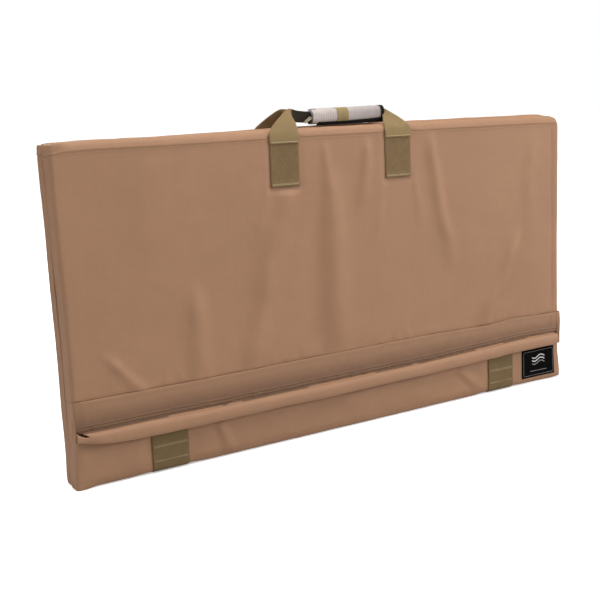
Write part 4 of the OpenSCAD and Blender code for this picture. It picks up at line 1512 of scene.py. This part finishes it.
def label_line(name, x, z, width, material):
    """A flat thread line on the label."""
    path = points(x, np.minimum(seat_face.y_at(x, z) - 1.5, FACE_Y - 1.2), z)
    side = np.cross(np.gradient(path, axis=0), np.array([0, 1.0, 0]))
    return ribbon(name, path, side, width, 0.5, material, columns=8, ribs=False)


def label():
    """Black patch with three waves over a bar, inside a thin frame line."""
    (x0, _, z0), (x1, _, z1) = label_low, label_high
    mid_x, mid_z = (x0 + x1) / 2, (z0 + z1) / 2
    x, z = np.meshgrid(np.linspace(x0, x1, 70), np.linspace(z0, z1, 48), indexing="ij")
    edge = np.minimum(np.minimum(x - x0, x1 - x), np.minimum(z - z0, z1 - z))
    y = (seat_face.y_at(x, z) - 0.35 - 0.75 * ease(0, 1.0, edge) + 0.25 * bell(edge, 2.4, 0.5)
         + 0.12 * FRONT_NOISE.layered(x / 18, z / 18, 2))
    vertices = points(x, np.minimum(y, FACE_Y - 0.15), z).reshape(-1, 3)
    ob = new_mesh("label_patch_cloth", vertices, grid_quads(70, 48).tolist(), BLACK_PATCH)
    solidify(ob, 0.35, offset=0.0)
    attach(ob, "seat_leaf", "label_patch")

    t = np.linspace(-1, 1, 60)
    lines = [label_line(f"w{k}", mid_x + t * 15, mid_z + 3 + rise + 2.6 * np.sin(t * PI + 0.3),
                        1.9, material)
             for k, (rise, material) in enumerate(
                 ((8.0, WHITE_THREAD), (2.5, WHITE_THREAD), (-3.0, GREY_THREAD)))]
    lines.append(label_line("w5", np.linspace(mid_x - 20, mid_x + 20, 30),
                            np.full(30, z0 + 11.0), 1.0, GREY_THREAD))
    inset = 3.6
    left, right, low, high = x0 + inset, x1 - inset, z0 + inset, z1 - inset
    rim = rounded([(left, 0, mid_z), (left, 0, high), (right, 0, high), (right, 0, low),
                   (left, 0, low), (left, 0, mid_z)], radius=2.0, pieces=4)
    rim = resample(rim, 2.0)
    lines.append(label_line("w6", rim[:, 0], rim[:, 2], 0.55, GREY_THREAD))
    attach(join("label_wave_motif", lines), "seat_leaf")


label()


# ---------------------------------------------------------------- pads, slings and spine
def pad(name, replaces, rear, body):
    """Thin sewn pad with quilted cells, seven along x and three along z."""
    low, high = cad_box("seat_pad")
    count_x, count_z = int((high[0] - low[0]) / 6.0) + 1, int((high[2] - low[2]) / 6.0) + 1
    x, z = np.meshgrid(np.linspace(low[0] + 1.5, high[0] - 1.5, count_x),
                       np.linspace(low[2] + 1.5, high[2] - 1.5, count_z), indexing="ij")
    cell_x, depth_z = 852 / 7.0, high[2] - low[2]
    across = np.abs(np.sin((x - low[0]) / cell_x * PI))
    up = np.abs(np.sin((z - low[2]) / depth_z * PI * 3))
    edge = np.minimum(np.minimum(x - low[0], high[0] - x), np.minimum(z - low[2], high[2] - z))
    puff = across ** 0.35 * up ** 0.35
    middle = (high[1] + low[1]) / 2
    fullness = 0.35 + 0.65 * ease(0, 3.5, edge)
    quilted = (high[1] - 1.5 + 2.4 * puff * ease(0, 14, edge)
               + 0.15 * FRONT_NOISE.layered(x / 40, z / 40, 2))
    inner = np.maximum(middle + (quilted - middle) * fullness, middle + 0.3)
    outer = np.minimum(middle + (low[1] + 0.4 - middle) * fullness, middle - 0.3)
    vertices = np.vstack([points(x, y, z).reshape(-1, 3) for y in (inner, outer)])
    index = np.arange(count_x * count_z).reshape(count_x, count_z)
    faces = quads(index).tolist() + quads(index + index.size)[:, ::-1].tolist()
    rim = np.concatenate([index[:, 0], index[-1, 1:], index[-2::-1, -1],
                          index[0, -2:0:-1]]).tolist()
    for p, q in zip(rim, rim[1:] + rim[:1]):
        faces.append([p, q, q + index.size, p + index.size])
    ob = new_mesh(name, vertices, faces, LINING)
    subdivision = ob.modifiers.new("sub", "SUBSURF")
    subdivision.levels = subdivision.render_levels = 1
    bake(ob)
    seam_y, inward = high[1] - 1.35, (0, 1.0, 0)
    seam_x = np.linspace(low[0] + 8, high[0] - 8, 180)
    seam_z = np.linspace(low[2] + 8, high[2] - 8, 90)
    lines = [(points(low[0] + cell_x * k, seam_y, seam_z), inward) for k in range(1, 7)]
    lines += [(points(seam_x, seam_y, low[2] + depth_z / 3 * k), inward) for k in (1, 2)]
    thread = stitches(name + "_stitching", lines, TAN_THREAD, length=3.4, gap=1.6,
                      radius=0.36, lift=0.1)
    for piece in (ob, thread):
        if rear:
            mirror_y(piece)
        attach(piece, body)
    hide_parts(replaces)


pad("seat_lying_pad", "seat_pad", False, "seat_leaf")
pad("back_lying_pad", "back_pad", True, "back_leaf")


def sling(name, rear, body):
    """Open net of crossing strands with a flat hem."""
    low, high = cad_box("seat_sling")
    y = (low[1] + high[1]) / 2
    pitch = 14.0
    vertices, faces = [], []

    def strand(start, end, side):
        start, end, side = (np.array(v, float) for v in (start, end, side))
        base = len(vertices)
        for p in (start, end):
            for k in range(6):
                angle = PI / 3 * k
                flat = np.array([0, 0.32 * math.sin(angle), 0])
                vertices.append(p + side * math.cos(angle) + flat)
        vertices.extend([start, end])
        for k in range(6):
            r = (k + 1) % 6
            for face in ([k, r, 6 + r, 6 + k], [12, r, k], [13, 6 + k, 6 + r]):
                faces.append([base + i for i in face])

    for z in np.arange(low[2] + 10, high[2] - 9, pitch):
        strand((low[0] + 9, y - 0.3, z), (high[0] - 9, y - 0.3, z), (0, 0, 1))
    for x in np.arange(low[0] + 10, high[0] - 9, pitch):
        strand((x, y + 0.3, low[2] + 9), (x, y + 0.3, high[2] - 9), (1, 0, 0))
    net = new_mesh(name + "_net", vertices, faces, SLING_MESH)
    hem_width = 12.0
    left, right = low[0] + hem_width / 2, high[0] - hem_width / 2
    bottom, top = low[2] + hem_width / 2, high[2] - hem_width / 2
    side_bottom, side_top = low[2] + 12.2, high[2] - 12.2
    hems = []
    for x0, z0, x1, z1, side in (
            (left, bottom, right, bottom, (0, 0, 1)), (left, top, right, top, (0, 0, 1)),
            (left, side_bottom, left, side_top, (1, 0, 0)),
            (right, side_bottom, right, side_top, (1, 0, 0))):
        t = np.linspace(0, 1, 40)
        path = points(x0 + t * (x1 - x0), y, z0 + t * (z1 - z0))
        hems.append(ribbon("hem", path, side, hem_width, 1.3, LOW_WEB, columns=10, ribs=False))
    for ob in (net, join(name + "_hem", hems)):
        if rear:
            mirror_y(ob)
        attach(ob, body)
    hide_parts(name)


sling("seat_sling", False, "seat_leaf")
sling("back_sling", True, "back_leaf")


def spine_tape():
    """Lining of the spine, on the hinge link; it leans with the covers."""
    top = cad_box("spine_panel")[1][2]
    z = np.linspace(2.2, top - 2.5, 150)[:, None]
    y = np.linspace(-3.4, 3.4, 9)
    lean = 4.6 * ease(150, 470, z)
    outer = (-457.35 - lean + 0.25 * FRONT_NOISE.at(z / 20.0, y / 3.0)
             - 0.5 * np.cos(y / 3.4 * PI / 2))
    x, y = stack_blocks(len(z), [(outer, y), (-456.3 - lean, y[::-1])])
    attach(sweep("spine_centre_tape", points(x, y, z), LINING), "hinge_link",
           "spine_panel")


spine_tape()

# ---------------------------------------------------------------- CAD nodes that stay
# the first word found in a node's name gives its material
PAINT = {
    "rail": DRAWN_TUBE, "cross_bars": DRAWN_TUBE, "elbows": NYLON, "saddles": NYLON,
    "fittings": NYLON, "rivets": ZINC, "link_plates": ZINC, "hinge_pins": ZINC,
    "prop_brackets": NYLON, "screws": ZINC, "prop_pins": ZINC, "prop_frame": DRAWN_TUBE,
    "foot_sleeve": NYLON, "skirt_rod": DRAWN_TUBE,
}
for name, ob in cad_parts.items():
    paint = next((material for word, material in PAINT.items() if word in name), None)
    if ob.hide_render or paint is None:
        continue
    ob.data.materials.clear()
    ob.data.materials.append(paint)
    for polygon in ob.data.polygons:
        polygon.use_smooth = True
    split = ob.modifiers.new("auto", "EDGE_SPLIT")
    split.split_angle = math.radians(35)


# ---------------------------------------------------------------- stage
def floor_material():
    """Grey to the light, but to the camera pale and glowing more with distance."""
    m = Material("floor")
    m.surface({"Base Color": (0.62, 0.62, 0.62), "Roughness": 0.95, "Specular IOR Level": 0.1})
    pale = m.node("BsdfDiffuse", {0: (0.9, 0.9, 0.9)})
    position = m.node("NewGeometry", output="Position")
    distance = m.node("VectorMath", {0: position}, output="Value", operation="LENGTH")
    strength = m.node("MapRange", {"Value": distance, "From Min": 0.7, "From Max": 2.2,
                                   "To Min": 0.38, "To Max": 1.0})
    glow = m.node("Emission", {0: (1, 1, 1), 1: strength})
    seen = m.node("AddShader", {0: pale, 1: glow})
    lit = Value(m.tree, m.shader.outputs[0])
    camera_ray = m.node("LightPath", output="Is Camera Ray")
    mixed = m.node("MixShader", {0: camera_ray, 1: lit, 2: seen})
    feed(m.tree, m.tree.nodes["Material Output"].inputs[0], mixed)
    return m.data


bpy.ops.mesh.primitive_plane_add(size=80, location=(0, 0, 0))
floor = bpy.context.object
floor.name = "floor"
floor.data.materials.append(floor_material())


def studio_world():
    """Soft white light; plain white to the camera."""
    world = bpy.data.worlds.new("studio")
    bpy.context.scene.world = world
    world.use_nodes = True
    tree = world.node_tree
    background = tree.nodes["Background"]
    feed(tree, background.inputs[0], (1, 1, 1))
    feed(tree, background.inputs[1], 0.25)
    seen = node(tree, "Background", {0: (1, 1, 1), 1: 1.0})
    camera_ray = node(tree, "LightPath", {}, output="Is Camera Ray")
    lit = Value(tree, background.outputs[0])
    mixed = node(tree, "MixShader", {0: camera_ray, 1: lit, 2: seen})
    feed(tree, tree.nodes["World Output"].inputs[0], mixed)


def area_light(name, location, target, size, power, color=(1, 1, 1)):
    """Rectangular light aimed at a target; places and sizes in metres."""
    light = bpy.data.lights.new(name, "AREA")
    light.shape = "RECTANGLE"
    light.size, light.size_y = size
    light.energy = power
    light.color = color
    ob = bpy.data.objects.new(name, light)
    bpy.context.scene.collection.objects.link(ob)
    ob.location = location
    ob.rotation_euler = (Vector(target) - Vector(location)).to_track_quat("-Z", "Y").to_euler()


studio_world()
area_light("key", location=(2.6, -1.9, 1.2), target=(0.28, 0, 0.32), size=(1.1, 1.1),
           power=53.5, color=(1.0, 0.99, 0.97))
area_light("top", location=(-0.2, -0.5, 2.6), target=(0, 0, 0.2), size=(3.0, 2.4), power=92)
area_light("side", location=(-2.7, 0.75, 0.75), target=(-0.46, 0.0, 0.25), size=(1.2, 1.0),
           power=6.5, color=(1.0, 0.985, 0.96))
area_light("fill", location=(-2.4, -1.6, 1.2), target=(0, 0, 0.2), size=(1.6, 1.6),
           power=2.5, color=(0.96, 0.98, 1.0))
area_light("back_light", location=(0.4, 2.4, 1.6), target=(0, 0, 0.2), size=(2.0, 1.4),
           power=20)

lens = bpy.data.cameras.new("camera")
lens.lens = 63.48
lens.sensor_width = 36
camera = bpy.data.objects.new("camera", lens)
bpy.context.scene.collection.objects.link(camera)
right = Vector((0.8313, -0.5543, -0.0414)).normalized()
forward = Vector((0.5405, 0.8235, -0.1725)).normalized()
up = right.cross(forward).normalized()
right = forward.cross(up).normalized()
rotation = Matrix((right, up, -forward)).transposed().to_4x4()
camera.matrix_world = Matrix.Translation((-0.943, -1.3175, 0.4828)) @ rotation
bpy.context.scene.camera = camera
bpy.context.scene.view_settings.view_transform = "Standard"
